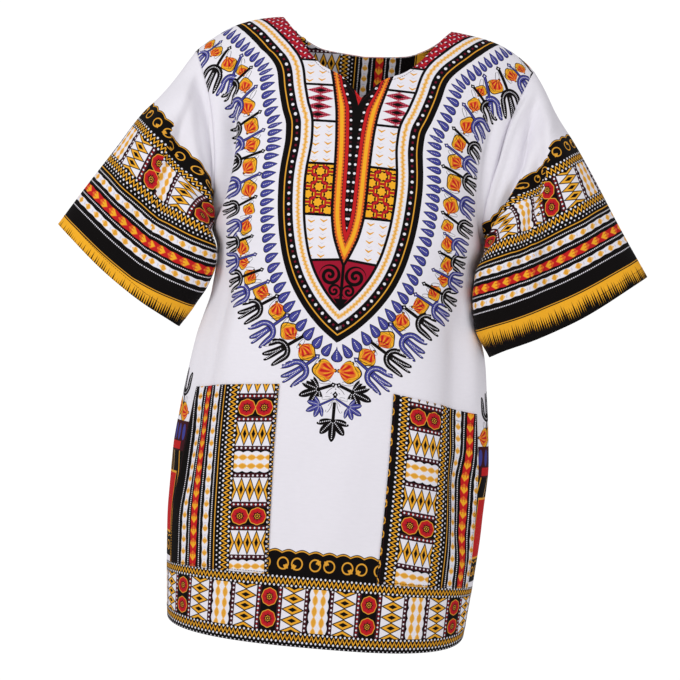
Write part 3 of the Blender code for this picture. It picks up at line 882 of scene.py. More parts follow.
def lay_tiles(paint, along, up, tile, shown):
    """The band of tiles: wavy chains, dotted bars, diamonds and red flowers, mirrored in each repeat."""
    across = size(cell(along + REPEAT / 2, REPEAT))
    quarter = tile / 4
    wavy = size(work("SINE", up / quarter * math.pi))
    paint.lay(MAROON, band(across, CHAIN_END, BAR_END) * shown)
    paint.lay(BLACK, band(across, CHAIN_END, BAR_MIDDLE) * shown)
    paint.lay(WHITE, inside(across - 11.0 - wavy * 1.9) * shown)
    blob = size(across - CHAIN_MIDDLE) - size(work("COSINE", up / quarter * math.pi)) * 2.9 - 0.9
    paint.lay(STRAW, inside(blob) * shown)
    paint.lay(OCHRE, inside(blob + 1.1) * shown)
    ground = band(across, BAR_END, DIAMONDS_END) * shown
    paint.lay(WHITE, ground)
    fold_up = size(work("FRACT", up / quarter + 0.5) - 0.5) * 2
    slant = size(across - (BAR_END + DIAMONDS_END) / 2) / DIAMOND_HALF + fold_up
    for limit, colour in DIAMOND_LAYERS:
        paint.lay(colour, inside(slant - limit, 0.05) * ground)
    paint.lay(MAROON, band(across, DIAMONDS_END, DOTS_END) * shown)
    step = cell(up, TILE_DOT_STEP)
    stripe = across - (DIAMONDS_END + DOTS_END) / 2
    between = cell(up + TILE_DOT_STEP / 2, TILE_DOT_STEP)
    paint.lay(RED, inside(length(stripe, between) - 0.8) * shown)
    dots = lower(length(across - (BAR_MIDDLE + BAR_END) / 2, step), length(stripe, step))
    paint.lay(WHITE, inside(dots - TILE_DOT) * shown)
    red = over(across, DOTS_END) * shown
    petal_x = REPEAT / 2 - across
    petal_y = (work("FRACT", up / tile * 2) - 0.5) * tile / 2
    angle = work("ARCTAN2", petal_y, petal_x)
    reach = length(petal_x, petal_y * 0.96)
    lobes = work("COSINE", angle * PETALS)
    paint.lay(BLACK, red)
    for limit, wobble, colour in PETAL_LAYERS:
        paint.lay(colour, inside(reach - limit - lobes * wobble) * red)


# The band of rings: its height, the depth of its scallops and the gold line in them, and a ring's size
RINGS_HIGH = 23.4
SCALLOP = 2.4
SCALLOP_LINE = 21.9
RING_MIDDLE = 11.6
RING_OUT = 5.6
RING_HALF = 0.72


def lay_rings(paint, along, rise, step):
    """Gold rings in pairs on black, with a scalloped top; rise is above the foot of the band."""
    scallop = size(wave(along, step * 1.7)) * SCALLOP
    paint.lay(BLACK, inside(rise - RINGS_HIGH - scallop) * over(rise, -0.5))
    paint.lay(OCHRE, inside(size(rise - SCALLOP_LINE - scallop) - 0.6))
    number = cell_number(along, step)
    flip = 1 - odd(number) * 2
    tip = odd(work("FLOOR", (number + 1) / 2)) * 2 - 1
    u = cell(along, step) * flip + 1.1
    v = rise - RING_MIDDLE
    paint.lay(OCHRE, inside(size(length(u, v) - RING_OUT) - RING_HALF))
    for lean in (1.05, -0.25):
        a, b = turned(u * -1.0 - 3.2, v * tip + 3.2, lean)
        paint.lay(OCHRE, inside(length(a, b * 0.45) - 1.3))


# The rows of dots in the border's foot, and the strokes of the printed fringe along its edge
DOTTED_STEP = 2.4
DOTTED_LINE = 1
FOOT_DOTS = 16.6
FRINGE_STEP = 2.6
FRINGE_TOP = 103.5
FRINGE_UNEVEN = 8.0
FRINGE_WIDENS = 0.085


def border_group():
    """The printed border: along it, up from the foot of its tiles, and the height of its tiles."""
    labels = ("Along", "Up", "Tile height", "Ring scale", "Ring step", "Rings")
    tree, (along, up, tile, ring_scale, ring_step, rings), result = effect(
        "border print", labels, (("Color", "NodeSocketColor"),))
    paint = Paint(tree, BLACK)
    beyond = size(up - tile / 2) - tile / 2
    lay_zigzag(paint, along, beyond, band(beyond, 0.0, ZIGZAG_BAND))
    lay_tiles(paint, along, up, tile, over(0.0, beyond))
    down = 0.0 - up
    dotted = inside(size(cell(along, DOTTED_STEP)) - 0.72)
    for start, end, number in zip(*STRIPES.values()):
        line = band(down, float(start), float(end))
        paint.lay((OCHRE, WHITE, YELLOW)[int(number)], line * dotted if number == DOTTED_LINE else line)
    paint.lay(WHITE, inside(length(cell(along, ZIGZAG_STEP), down - FOOT_DOTS) - 0.95))
    for middle, half, is_red in CHAINS:
        lay_chain(paint, along, down - middle, half, is_red, over(down, ZIGZAG_BAND))
    number = tree.nodes.new("ShaderNodeTexWhiteNoise")
    number.noise_dimensions = "1D"
    tree.links.new(cell_number(along, FRINGE_STEP).socket, number.inputs["W"])
    start = Value(tree, number.outputs["Value"]) * FRINGE_UNEVEN + FRINGE_TOP
    stroke = inside(size(cell(along, FRINGE_STEP)) - (down - start) * FRINGE_WIDENS) * over(down, start)
    paint.lay(BLACK, stroke)
    above = over(up, tile + ZIGZAG_BAND)
    ringed = Paint(tree, WHITE)
    lay_rings(ringed, along / ring_scale, (up - tile - ZIGZAG_BAND) / ring_scale, ring_step)
    paint.lay(Paint(tree, WHITE).lay(ringed, rings), above)
    finish_paint(paint, result)
    return tree


# The ring of drop-shaped leaves: their step, place and size, their black edge, how they spread apart round
# the tip of the panel, and how they lean up its sides
DROP_STEP = 12.9
DROP_MIDDLE = 13.6
DROP_HALF = 9.5
DROP_WIDE = 7.2
DROP_FILL_WIDE = 5.9
DROP_EDGE = 0.9
DROP_CROWDING = 1.206
TIP_SPREAD = 38.0
TIP_REACH = 120.0
LEAN_REACH = 500.0
LEAN_MOST = 0.27


def drop_width(v, half, wide):
    """Half width of a drop-shaped leaf, pointed at -half and round at +half."""
    place = v / half
    return root(1 - place * place) * (place * 0.40 + 0.66) * wide


def lay_drops(paint, run, out):
    """The inner ring of blue drop-shaped leaves, wider apart round the tip and leaning up the sides."""
    way = size(run)
    spread = way * DROP_CROWDING - (1 - work("EXPONENT", way / -TIP_REACH)) * TIP_SPREAD
    v = out - DROP_MIDDLE
    u = cell(spread + DROP_STEP / 2 + v * lower(way / LEAN_REACH, LEAN_MOST), DROP_STEP)
    for colour, half, wide in ((BLACK, DROP_HALF, DROP_WIDE), (BLUE, DROP_HALF - DROP_EDGE, DROP_FILL_WIDE)):
        paint.lay(colour, inside(size(u) - drop_width(v, half, wide)) * inside(size(v) - half))
    paint.lay(WHITE, inside(length(u, cell(v, 2.1)) - 0.55) * inside(size(v - 0.6) - 5.2))


# A hand of three fingers: their length and half width, the round of the palm they hang from, and how the
# outer ones bend
FINGER_LONG = 35.0
FINGER_HALF = 3.3
PALM = 10.0
OUTER_SHORTER = 0.50
FINGER_BEND = 7.5
FINGER_BEND_OTHER = -1.5
LEAF_DOT = 0.62

# The leaves of half a palm: angle, length, width and bend
PALM_LEAVES = ((0.0, 26.0, 4.4, 0.0), (0.70, 22.5, 4.4, 0.0), (1.42, 20.0, 3.4, -2.0))
PALM_HEART = 6.2


def leaf_marks(u, v, angle, long, wide, bend):
    """Outline, fill and dotted rib of a leaf that grows from the origin at an angle from v towards u.

    Its tip is bent towards u by the last number.
    """
    a, b = turned(u, v, -angle)
    place = b / long
    side = a - place * place * bend
    span = higher(place * (1 - place) * 4, 0.0)
    width = work("POWER", span, 0.75) * (place * 0.5 + 0.72) * wide
    ends = over(place, 0.0) * over(1.0, place)
    outline = inside(size(side) - width - 0.35) * ends
    fill = inside(size(side) - width + 0.5) * ends
    dots = inside(length(side, cell(b, 2.3)) - LEAF_DOT) * over(place, 0.10) * over(0.88, place)
    return outline, fill, dots


def finger_marks(u, v):
    """Outline, fill and dotted ribs of a hand of three fingers that hang from a round palm."""
    place = (v + size(u) * OUTER_SHORTER) / FINGER_LONG
    leaned = u + place * place * (over(0.0, u) * FINGER_BEND + FINGER_BEND_OTHER)
    arch = size(length(leaned, lower(v - PALM, 0.0)) - PALM)
    rib = lower(arch, higher(size(leaned), 7.0 - v))
    width = root(1 - work("POWER", higher(place, 0.0), 3.0)) * FINGER_HALF
    ends = over(1.0, place) * over(v, -4.5)
    dots = inside(length(rib, cell(v + size(u), 2.5)) - 0.66) * over(0.90, place) * over(v, -1.5)
    return [inside(rib - width - 0.4) * ends, inside(rib - width + 0.45) * ends, dots]


def merge(marks):
    """Outline, fill and dots of several leaves together."""
    total = marks[0]
    for mark in marks[1:]:
        total = [higher(a, b) for a, b in zip(total, mark)]
    return total


def lay_sprig(paint, u, v, stem, is_black, is_palm):
    """A stem that ends at the origin, with a hand of three curved leaves or a palm of five short ones.

    Blue or black with dotted ribs, and a small white leaf on each side of the stem.
    """
    blade_u, blade_v = size(u) - 6.4, v + stem * 0.52 + over(u, 0.0) * 4.0
    a, b = turned(blade_u, blade_v, -0.35)
    place = b / 7.6
    blade = size(a) - root(1 - place * place) * 2.3
    paint.lay(BLACK, inside(size(blade) - 0.30) * inside(size(place) - 0.97, 0.1))
    ink = Paint(paint.tree, BLUE)
    ink.lay(BLACK, is_black)
    open_hand = finger_marks(u, v)
    mirrored = size(u)
    palm = merge([leaf_marks(mirrored, v, *leaf) for leaf in PALM_LEAVES])
    heart = inside(length(u, v - 5.0) - PALM_HEART)
    palm[0] = higher(palm[0], heart)
    palm[1] = higher(palm[1], heart)
    outline, fill, dots = [a * (1 - is_palm) + b * is_palm for a, b in zip(open_hand, palm)]
    stalk = over(v, 0.0 - stem) * over(3.0, v)
    paint.lay(BLACK, higher(outline, inside(size(u) - 2.0) * stalk))
    bud = size(u) + size(v + stem) * 0.8
    paint.lay(BLACK, inside(bud - 3.4))
    paint.lay(ink, higher(fill, higher(inside(size(u) - 1.15) * stalk, inside(bud - 2.4))))
    paint.lay(WHITE, higher(dots, inside(bud - 1.0)))


# A flower's length, the lobes of its rim, its inner frill and its rays
FLOWER_LONG = 24.0
FLOWER_LOBES = 7
FLOWER_FRILLS = 9
FLOWER_RAYS = 6.5


def lay_flower(paint, u, v):
    """A yellow and orange flower that opens from its point at the origin along v."""
    angle = work("ARCTAN2", u, v)
    reach = length(u, v)
    fan = work("POWER", higher(work("COSINE", lower(size(angle) * 1.42, 1.57)), 0.0), 0.42)
    rim = fan * (work("COSINE", angle * FLOWER_LOBES) * 0.06 + 0.96) * FLOWER_LONG
    share = reach / higher(rim, 0.5)
    edge = reach - rim
    shown = over(fan, 0.02)
    paint.lay(BLACK, inside(edge - 0.9) * shown)
    paint.lay(YELLOW, inside(edge + 0.6) * shown)
    frill = work("COSINE", angle * FLOWER_FRILLS + 1.2) * 0.05
    paint.lay(ORANGE, band(share + frill, 0.10, 0.76, 0.06) * shown)
    rays = size(work("SINE", angle * FLOWER_RAYS + share * 2.6))
    paint.lay(RED, over(rays, 0.74) * band(share + frill, 0.22, 0.70, 0.06) * shown)
    paint.lay(YELLOW, over(0.26, rays) * band(share, 0.30, 0.58, 0.06) * shown)
    paint.lay(BLACK, inside(size(edge + 3.0 + frill * 30.0) - 0.22) * over(share, 0.5) * shown)


def ring_group():
    """White cloth with the rings of leaves and flowers that follow the outline of the breast panel.

    Outline is the distance outside it and Run the way along it. The other values are places in the
    nearest flower's and the nearest sprig's own axes. Sprig kind is 0 for blue, 1 for black, 2 for a black
    palm and 3 for a blue one.
    """
    labels = ("Outline", "Run", "Flower across", "Flower up", "Sprig across", "Sprig up", "Sprig kind",
              "Stem")
    tree, given, result = effect("leaf ring print", labels, (("Color", "NodeSocketColor"),))
    out, run, flower_u, flower_v, sprig_u, sprig_v, kind, stem = given
    paint = Paint(tree, WHITE)
    lay_flower(paint, flower_u, flower_v)
    lay_sprig(paint, sprig_u, sprig_v, stem, over(kind, 0.5) * over(2.5, kind), over(kind, 1.5))
    lay_drops(paint, run, out)
    finish_paint(paint, result)
    return tree


# The boxes of the breast panel, on the flat cloth: the heights of the black lines between them, how far out
# their middles lie, and the numbers of the ones that hold diamonds, a trellis and the slanted foot
BOX_LINES = (-50.0, -85.8, -134.3, -189.4, -253.6, -310.4)
BOX_MIDDLES = (56.0, 48.0, 39.5, 38.0, 36.0)
LINE_HALF = 1.6
DIAMOND_BOX, TRELLIS_BOX, LAST_BOX = 1, 3, 4
DIAMONDS_AT = -110.0
TRELLIS_AT = -199.6
FOOT_SLANT = 0.10
FOOT_LIFT = 4.6

# The steps of what fills the boxes, across and up
CHEVRON_STEP = 15.0
CHEVRON_ROW = 10.8
DIAMOND_ROW = 10.8
TRELLIS_STEP = 19.4

# The bands inside the panel's outline, from the outside in: a black band with an ochre line and dots, the
# white band of the rope, and where the bands end
BANDS_END = 34.4
OCHRE_LINE = (7.0, 8.5)
PANEL_DOTS = 13.8
PANEL_DOT_STEP = 14.0
ROPE_BAND = (18.8, 31.0)
ROPE_MIDDLE = 25.2
ROPE_STEP = 5.6

# The braid that edges the point: its width, how much narrower it gets by the neck and where, and the step of
# its dots
BRAID_WIDE = 15.4
BRAID_NARROWER = 4.6
BRAID_FADE_FROM = -115.0
BRAID_FADE = 30.0
BRAID_DOT_STEP = 11.4


def lay_chevrons(paint, u, v, shown):
    """Rows of ochre chevrons, two in each, with paler ones between the rows."""
    for rise, colour, thick in ((0.0, OCHRE, 1.3), (CHEVRON_ROW / 2, PALE, 0.6)):
        du = size(cell(u, CHEVRON_STEP))
        dv = cell(v + rise + over(u, 0.0) * 1.8, CHEVRON_ROW) - du * 0.62 + 1.4
        mark = inside(size(dv) - thick + du * 0.16) * inside(du - 4.4) * inside(size(u) - 14.5) * shown
        paint.lay(colour, mark)


def lay_diamonds(paint, u, v, shown):
    """Crimson diamonds with toothed, dotted edges and a black heart."""
    dv = size(cell(v, DIAMOND_ROW))
    slant = size(u) / 16.5 + dv / (DIAMOND_ROW / 2)
    teeth = size(wave(u, 3.2)) * 0.16
    paint.lay(CRIMSON, inside(slant - 1.14 + teeth, 0.06) * shown)
    dots = length(cell(u, 2.6), cell(v, DIAMOND_ROW / 4)) - 0.72
    paint.lay(ROSE, inside(dots) * band(slant, 0.52, 0.95, 0.06) * shown)
    paint.lay(MAROON, inside(slant - 0.50, 0.06) * shown)
    paint.lay(BLACK, inside(slant - 0.38, 0.06) * shown)


def lay_trellis(paint, u, v, shown):
    """Yellow flowers with a few outer petals, in a dark red trellis."""
    paint.lay(RED, shown)
    near = (u, cell(v + TRELLIS_STEP / 2, TRELLIS_STEP))
    far = (size(u) - 12.9, cell(v, TRELLIS_STEP))
    for du, dv in (near, far):
        angle = work("ARCTAN2", dv, du)
        reach = length(du, dv)
        cross = work("COSINE", angle * 4)
        paint.lay(BLACK, inside(reach - 7.6 - cross * 1.3) * shown)
        arcs = size(reach - 7.5)
        paint.lay(YELLOW, inside(arcs - 0.75) * over(cross, 0.30) * shown)
        paint.lay(CRIMSON, inside(size(reach - 6.3) - 0.5) * over(0.0, cross) * shown)
        petals = work("COSINE", angle * 7)
        paint.lay(YELLOW, inside(reach - 4.9 - petals * 0.6) * shown)


# The scrolls of one half: middle, reach, the step from turn to turn, and which way they turn
SCROLLS = ((15.5, -326.0, 13.0, 7.4, 1.0), (8.6, -344.5, 8.4, 5.6, -1.0))
SCROLLS_FOOT = -353.5


def lay_scrolls(paint, across, up, shown):
    """Black scrolls on crimson that fill the point of the panel."""
    paint.lay(CRIMSON, shown)
    side = size(across)
    for x, y, outer, step, way in SCROLLS:
        u = side - x
        v = up - y
        reach = length(u, v)
        angle = work("ARCTAN2", v * way, u) / (2 * math.pi)
        arm = size(work("FRACT", reach / step + angle) - 0.5) * 2
        paint.lay(BLACK, inside(0.42 - arm, 0.1) * inside(reach - outer) * shown)
    paint.lay(BLACK, inside(side - 1.9) * shown)
    foot = over(SCROLLS_FOOT, up) * shown
    paint.lay(BLACK, foot)
    paint.lay(CRIMSON, inside(size(side * 1.30 + up * -1.0 - 366.0) - 0.6) * foot)


def lay_neck(paint, side, up, shown):
    """Red by the neck with short white strokes that lean both ways."""
    paint.lay(RED, shown)
    for shift, lean in ((0.0, 0.7), (5.6, -0.9)):
        du, dv = turned(cell(side + shift, 11.2), cell(up + shift, 8.8), lean)
        paint.lay(CRIMSON, inside(length(du * 0.7, dv - 1.0) - 3.2) * shown)
        paint.lay(MAROON, inside(length(du - 2.4, dv * 0.6) - 0.9) * shown)
        paint.lay(WHITE, inside(length(du, dv * 0.40) - 0.75) * shown)


def lay_braid(paint, up, inward, run, inner):
    """The toothed braid that edges the long point, and the dotted black inside it."""
    tooth = size(wave(run, 8.4))
    braid = Paint(paint.tree, BLACK)
    braid.lay(MAROON, band(inward, 1.8, 4.2))
    braid.lay(RED, over(inward, 3.0) * over(inner + 0.8, inward))
    core_end = inner * 0.72
    braid.lay(MAROON, over(inward, 2.6) * over(core_end + 1.2, inward))
    braid.lay(ORANGE, over(inward, 3.9 - tooth * 1.5) * over(core_end - 0.8 + tooth * 1.6, inward))
    braid.lay(YELLOW, over(inward, 5.2) * over(core_end - 2.0 + tooth * 0.6, inward))
    dots = inward - inner - 3.0
    braid.lay(WHITE, inside(length(dots, cell(up, BRAID_DOT_STEP)) - 1.6))
    braid.lay(MAROON, inside(length(dots, cell(up + BRAID_DOT_STEP / 2, BRAID_DOT_STEP)) - 1.4))
    return braid


def chest_group():
    """The breast panel: bands inside its outline, boxes, and the long point down the middle."""
    labels = ("Across", "Up", "Outline", "Run", "Point", "Point run")
    tree, (across, up, out, run, point, point_run), result = effect(
        "breast panel print", labels, (("Color", "NodeSocketColor"),))
    depth = 0.0 - out
    side = size(across)
    paint = Paint(tree, BLACK)
    slanted = up + side * FOOT_SLANT
    for number, box_middle in enumerate(BOX_MIDDLES):
        top, foot = BOX_LINES[number] - LINE_HALF, BOX_LINES[number + 1] + LINE_HALF
        box_u = side - box_middle
        above_foot = over(slanted, foot + FOOT_LIFT) if number == LAST_BOX else over(up, foot)
        shown = over(top, up) * above_foot
        if number == TRELLIS_BOX:
            lay_trellis(paint, box_u, up - TRELLIS_AT, shown)
            continue
        paint.lay(WHITE, shown)
        if number == DIAMOND_BOX:
            lay_diamonds(paint, box_u, up - DIAMONDS_AT, shown)
        else:
            lay_chevrons(paint, box_u, up - top, shown)
    lay_scrolls(paint, across, up, over(BOX_LINES[-1] - LINE_HALF + FOOT_LIFT, slanted))
    lay_neck(paint, side, up, over(up, BOX_LINES[0] + LINE_HALF))
    inward = 0.0 - point
    by_neck = work("MULTIPLY_ADD", up, 1 / BRAID_FADE, -BRAID_FADE_FROM / BRAID_FADE, clamp=True)
    inner = BRAID_WIDE - by_neck * BRAID_NARROWER
    paint.lay(lay_braid(paint, up, inward, point_run, inner), over(inward, -0.8))
    paint.lay(RED, over(up - side * 2.9, -110.5) * over(inward, 20.0))
    paint.lay(BLACK, band(depth, -1.0, BANDS_END) * over(BANDS_END, depth))
    paint.lay(OCHRE, band(depth, *OCHRE_LINE))
    place = depth - PANEL_DOTS
    paint.lay(WHITE, inside(length(cell(run, PANEL_DOT_STEP), place) - 1.9))
    between = cell(run + PANEL_DOT_STEP / 2, PANEL_DOT_STEP)
    paint.lay(WINE, inside(higher(size(between), size(place)) - 1.3))
    paint.lay(WHITE, band(depth, *ROPE_BAND))
    twist = wave(run, ROPE_STEP)
    fuzz = size(wave(run, 2.9)) * 0.9 + size(twist) * 0.8
    rope = size(depth - ROPE_MIDDLE - twist * 0.7)
    shown = band(depth, 19.2, ROPE_BAND[1])
    paint.lay(STRAW, inside(rope - 1.3 - fuzz) * shown)
    paint.lay(OCHRE, inside(rope - 0.1 - fuzz * 0.6) * shown)
    paint.lay(WHITE, over(out, 0.0))
    finish_paint(paint, result)
    return tree


def attribute(tree, label):
    """Three values kept at the points of a mesh."""
    node = tree.nodes.new("ShaderNodeAttribute")
    node.attribute_name = label
    parts = tree.nodes.new("ShaderNodeSeparateXYZ")
    tree.links.new(node.outputs["Vector"], parts.inputs[0])
    return [Value(tree, parts.outputs[place]) for place in range(3)]


def weave_group():
    """Plain weave: the height of its threads, and uneven thread colour."""
    tree, (across, up), result = effect(
        "plain weave", ("Across", "Up"), (("Height", "NodeSocketFloat"), ("Shade", "NodeSocketFloat")))
    row = wave(up, 2 * THREAD_STEP)
    warp = size(wave(across, THREAD_STEP)) * over(row, 0.0)
    weft = size(wave(up, THREAD_STEP)) * over(0.0, row)
    tree.links.new((warp * 0.5 + weft * 0.5).socket, result.inputs["Height"])
    place = tree.nodes.new("ShaderNodeCombineXYZ")
    tree.links.new((across * 0.10).socket, place.inputs[0])
    tree.links.new((up * 0.35).socket, place.inputs[1])
    noise = tree.nodes.new("ShaderNodeTexNoise")
    set_inputs(noise, {"Scale": 1.0, "Detail": 2.0})
    tree.links.new(place.outputs[0], noise.inputs["Vector"])
    shade = Value(tree, noise.outputs["Fac"]) * UNEVEN_THREAD + (1 - UNEVEN_THREAD / 2)
    tree.links.new(shade.socket, result.inputs["Shade"])
    return tree


def use_group(tree, group, values):
    """A group in a material, fed by socket name."""
    node = tree.nodes.new("ShaderNodeGroup")
    node.node_tree = group
    for label, value in values.items():
        if isinstance(value, Value):
            tree.links.new(value.socket, node.inputs[label])
        else:
            node.inputs[label].default_value = value
    return node


def new_material(name, values):
    """A material with values set on its shader: the material, its nodes and the shader."""
    material = bpy.data.materials.new(name)
    material.use_nodes = True
    shader = material.node_tree.nodes["Principled BSDF"]
    set_inputs(shader, values)
    return material, material.node_tree, shader


def set_inputs(node, values):
    """Set a node's unlinked sockets by name."""
    for label, value in values.items():
        node.inputs[label].default_value = value


def cotton(name, draw, is_printed_inside=False):
    """Printed cotton. draw lays the print and returns its colour; the wrong side shows it faintly."""
    material, tree, shader = new_material(name, COTTON)
    across, up, layer = attribute(tree, "cloth")
    weave = use_group(tree, GROUPS["weave"], {"Across": across, "Up": up})
    wrong_side = 1.0 - layer if is_printed_inside else layer
    paint = Paint(tree, draw(tree, across, up)).lay(WRONG_SIDE, wrong_side * SHOWS_FAINTLY)
    shade = tree.nodes.new("ShaderNodeMix")
    shade.data_type = "RGBA"
    shade.blend_type = "MULTIPLY"
    set_inputs(shade, {"Factor": 1.0})
    tree.links.new(paint.colour, shade.inputs[6])
    tree.links.new(weave.outputs["Shade"], shade.inputs[7])
    tree.links.new(shade.outputs[2], shader.inputs["Base Color"])
    bump = tree.nodes.new("ShaderNodeBump")
    set_inputs(bump, {"Strength": 0.35, "Distance": 0.00025})
    tree.links.new(weave.outputs["Height"], bump.inputs["Height"])
    tree.links.new(bump.outputs["Normal"], shader.inputs["Normal"])
    return material


# The side print's heights: its sprig and flowers, the dark patch with a row of blue leaves, the red bar, the
# striped part with its red wedge, and the rings at its foot
SIDE_SPRIG = -486.0
SIDE_FLOWERS = (-509.0, -503.0)
PATCH_TOP = -520.0
PATCH_LEAVES = -534.0
RED_BAR = (-556.0, -546.0)
STRIPES_TOP = -558.0
WEDGE_MIDDLE = -622.0
WEDGE_HALF = 36.0
WEDGE_START = 22.0
SIDE_FOOT = -662.0
SIDE_RINGS = -688.0
SIDE_RING_STEP = 18.0
SIDE_STRIPES = ((20.0, OCHRE, 0.9), (38.0, STRAW, 0.6), (48.0, OCHRE, 1.0))


def side_group():
    """The side of the skirt beside a pocket: sprig, flowers, a dark patch, then upright stripes."""
    tree, (past, up), result = effect("side print", ("Past", "Up"), (("Color", "NodeSocketColor"),))
    paint = Paint(tree, WHITE)
    zero = past * 0.0
    lay_sprig(paint, past - 31.0, up - SIDE_SPRIG, zero + 20.0, zero + 1.0, zero)
    lay_flower(paint, SIDE_FLOWERS[0] - up, past - 14.0)
    lay_flower(paint, up - SIDE_FLOWERS[1], 56.0 - past)
    low = over(PATCH_TOP, up)
    paint.lay(MAROON, low)
    paint.lay(BLUE, inside(length(cell(past, 12.0), (up - PATCH_LEAVES) * 0.35) - 3.6) * low)
    paint.lay(RED, band(up, *RED_BAR) * over(past, WEDGE_START))
    dark = over(STRIPES_TOP, up)
    paint.lay(BLACK, dark)
    sway = (up + 560.0) * 0.12 - wave(up, 60.0) * 1.4
    for start, colour, half in SIDE_STRIPES:
        paint.lay(colour, inside(size(past - start - sway) - half) * dark)
    from_wedge = size(up - WEDGE_MIDDLE)
    paint.lay(OCHRE, inside(from_wedge - WEDGE_HALF - 2.5) * over(past, WEDGE_START - 1.0) * dark)
    top = WEDGE_MIDDLE + WEDGE_HALF
    sloped = over(0.0, (up - top) * 0.5 - past + WEDGE_START)
    paint.lay(RED, inside(from_wedge - WEDGE_HALF) * over(past, WEDGE_START) * sloped)
    paint.lay(BLACK, over(SIDE_FOOT, up))
    lay_rings(paint, past, up - SIDE_RINGS, SIDE_RING_STEP)
    finish_paint(paint, result)
    return tree


# The outline of the breast panel and of the point down its middle, on the flat cloth, from the tip up
OUTLINE = named("across up", (
    (0.0, -407.2), (24.6, -387.9), (49.0, -360.4), (67.0, -330.0), (77.8, -299.5), (85.0, -262.3),
    (87.8, -229.2), (88.4, -210.4), (87.6, -191.7), (86.0, -175.9), (84.7, -159.9), (85.6, -141.4),
    (92.6, -120.6), (100.2, -93.5), (106.2, -66.7), (132.0, -30.9), (159.2, 0.5), (182.0, 28.0),
    (200.0, 50.0),
))
POINT = named("across up", (
    (0.0, -315.4), (9.0, -296.3), (16.6, -274.4), (20.5, -248.1), (21.4, -221.0), (21.9, -189.2),
    (23.0, -158.9), (26.0, -123.9), (33.6, -85.6), (42.0, -50.6), (48.0, -20.0), (52.0, 10.0),
))

# The print lies a little to the wearer's right of the middle of the cloth, most of all at the panel's tip
SHIFT = 3.6
SHIFT_FOOT = -455.0
SHIFT_FOOT_FADE = 60.0
SHIFT_SHOULDER = -150.0
SHIFT_SHOULDER_FADE = 90.0
SHIFT_LOST = 0.6

# The way round the panel's tip is counted at this distance from it
TURN_REACH = 15.0

# Flowers of the ring, for one half and mirrored: the middle, length, and the way they open as an angle
# seen from the front on the wearer's right
FLOWERS = named("across up way long", (
    (15.5, -441.0, 183, 27), (36.5, -421.0, 317, 23), (59.0, -398.0, 133, 23), (75.5, -375.0, 280, 22),
    (99.0, -353.0, 166, 22), (117.0, -336.0, 238, 20), (130.0, -318.0, 180, 19), (132.0, -300.0, 78, 21),
    (128.5, -275.0, 252, 20), (125.0, -250.0, 65, 18), (127.5, -222.0, 105, 23), (129.0, -193.0, 48, 23),
    (127.5, -166.0, 22, 21), (130.5, -142.0, 62, 21), (139.0, -117.0, 108, 22), (144.0, -89.0, 96, 19),
    (150.0, -69.0, 110, 16), (169.0, -58.0, 290, 22), (189.0, -35.0, 45, 20), (202.0, -18.0, 45, 18),
    (220.0, 2.0, 60, 20),
))

# Sprigs of the ring: where the stem starts, its way and length, the hand's size, and the kind, which is 0 for
# blue, 1 for black, 2 for a black palm and 3 for a blue palm. A kind and a stem are kept in one number.
KIND_CODE = 100.0
SPRIGS = named("across up way stem scale kind", (
    (23.5, -425.0, 219, 20, 1.00, 0), (40.5, -402.0, 213, 25, 1.00, 1), (63.0, -379.0, 220, 23, 1.00, 0),
    (78.0, -357.0, 211, 24, 1.00, 1), (91.0, -340.0, 205, 30, 0.95, 0), (101.0, -326.0, 200, 32, 0.90, 1),
    (112.0, -308.0, 196, 28, 0.85, 0), (118.0, -286.0, 198, 22, 0.80, 1), (122.0, -261.0, 214, 18, 0.80, 0),
    (117.0, -233.0, 204, 28, 0.90, 1), (114.0, -204.0, 200, 31, 0.95, 0), (112.0, -175.0, 196, 33, 0.90, 1),
    (114.0, -148.0, 206, 31, 0.90, 0), (121.0, -124.5, 212, 31, 0.90, 1), (130.0, -91.7, 222, 26, 0.95, 0),
    (139.0, -65.0, 225, 26, 0.90, 1), (153.0, -47.0, 252, 31, 1.05, 0), (170.5, -31.0, 241, 34, 1.10, 1),
    (185.0, -18.5, 220, 25, 1.00, 0), (205.0, 3.0, 228, 30, 1.00, 1),
    (3.5, -457.5, 202, 18, 0.98, 2), (0.5, -473.5, 209, 19, 0.72, 3), (0.0, -469.0, 270, 31, 1.00, 2),
))
HAND_REACH = 15.0


def middle(value):
    """A value at the middle of each quad of a grid."""
    return (value[:-1, :-1] + value[1:, :-1] + value[:-1, 1:] + value[1:, 1:]) / 4


def nearest(across, up, starts, ends):
    """The number of the line that lies nearest to the middle of each quad."""
    spot = np.stack([np.abs(middle(across)).ravel(), middle(up).ravel()], axis=1)
    gaps = []
    for start, end in zip(starts, ends):
        step = end - start
        share = np.clip(((spot - start) @ step) / (step @ step), 0.0, 1.0)
        gaps.append(np.linalg.norm(spot - start - share[:, None] * step, axis=1))
    return np.argmin(gaps, axis=0)


def motif_axes(across, origins, ways, scales):
    """For each quad, what takes a place in the print to its motif's own axes, the second along its way."""
    side = np.where(middle(across).ravel() < 0, -1.0, 1.0)
    x, y = origins.T
    cos, sin = np.cos(ways), np.sin(ways)
    along = np.stack([-side * cos, sin, x * cos - y * sin], axis=1)
    aside = np.stack([side * sin, cos, -x * sin - y * cos], axis=1)
    return np.stack([aside, along], axis=1) / scales[:, None, None]


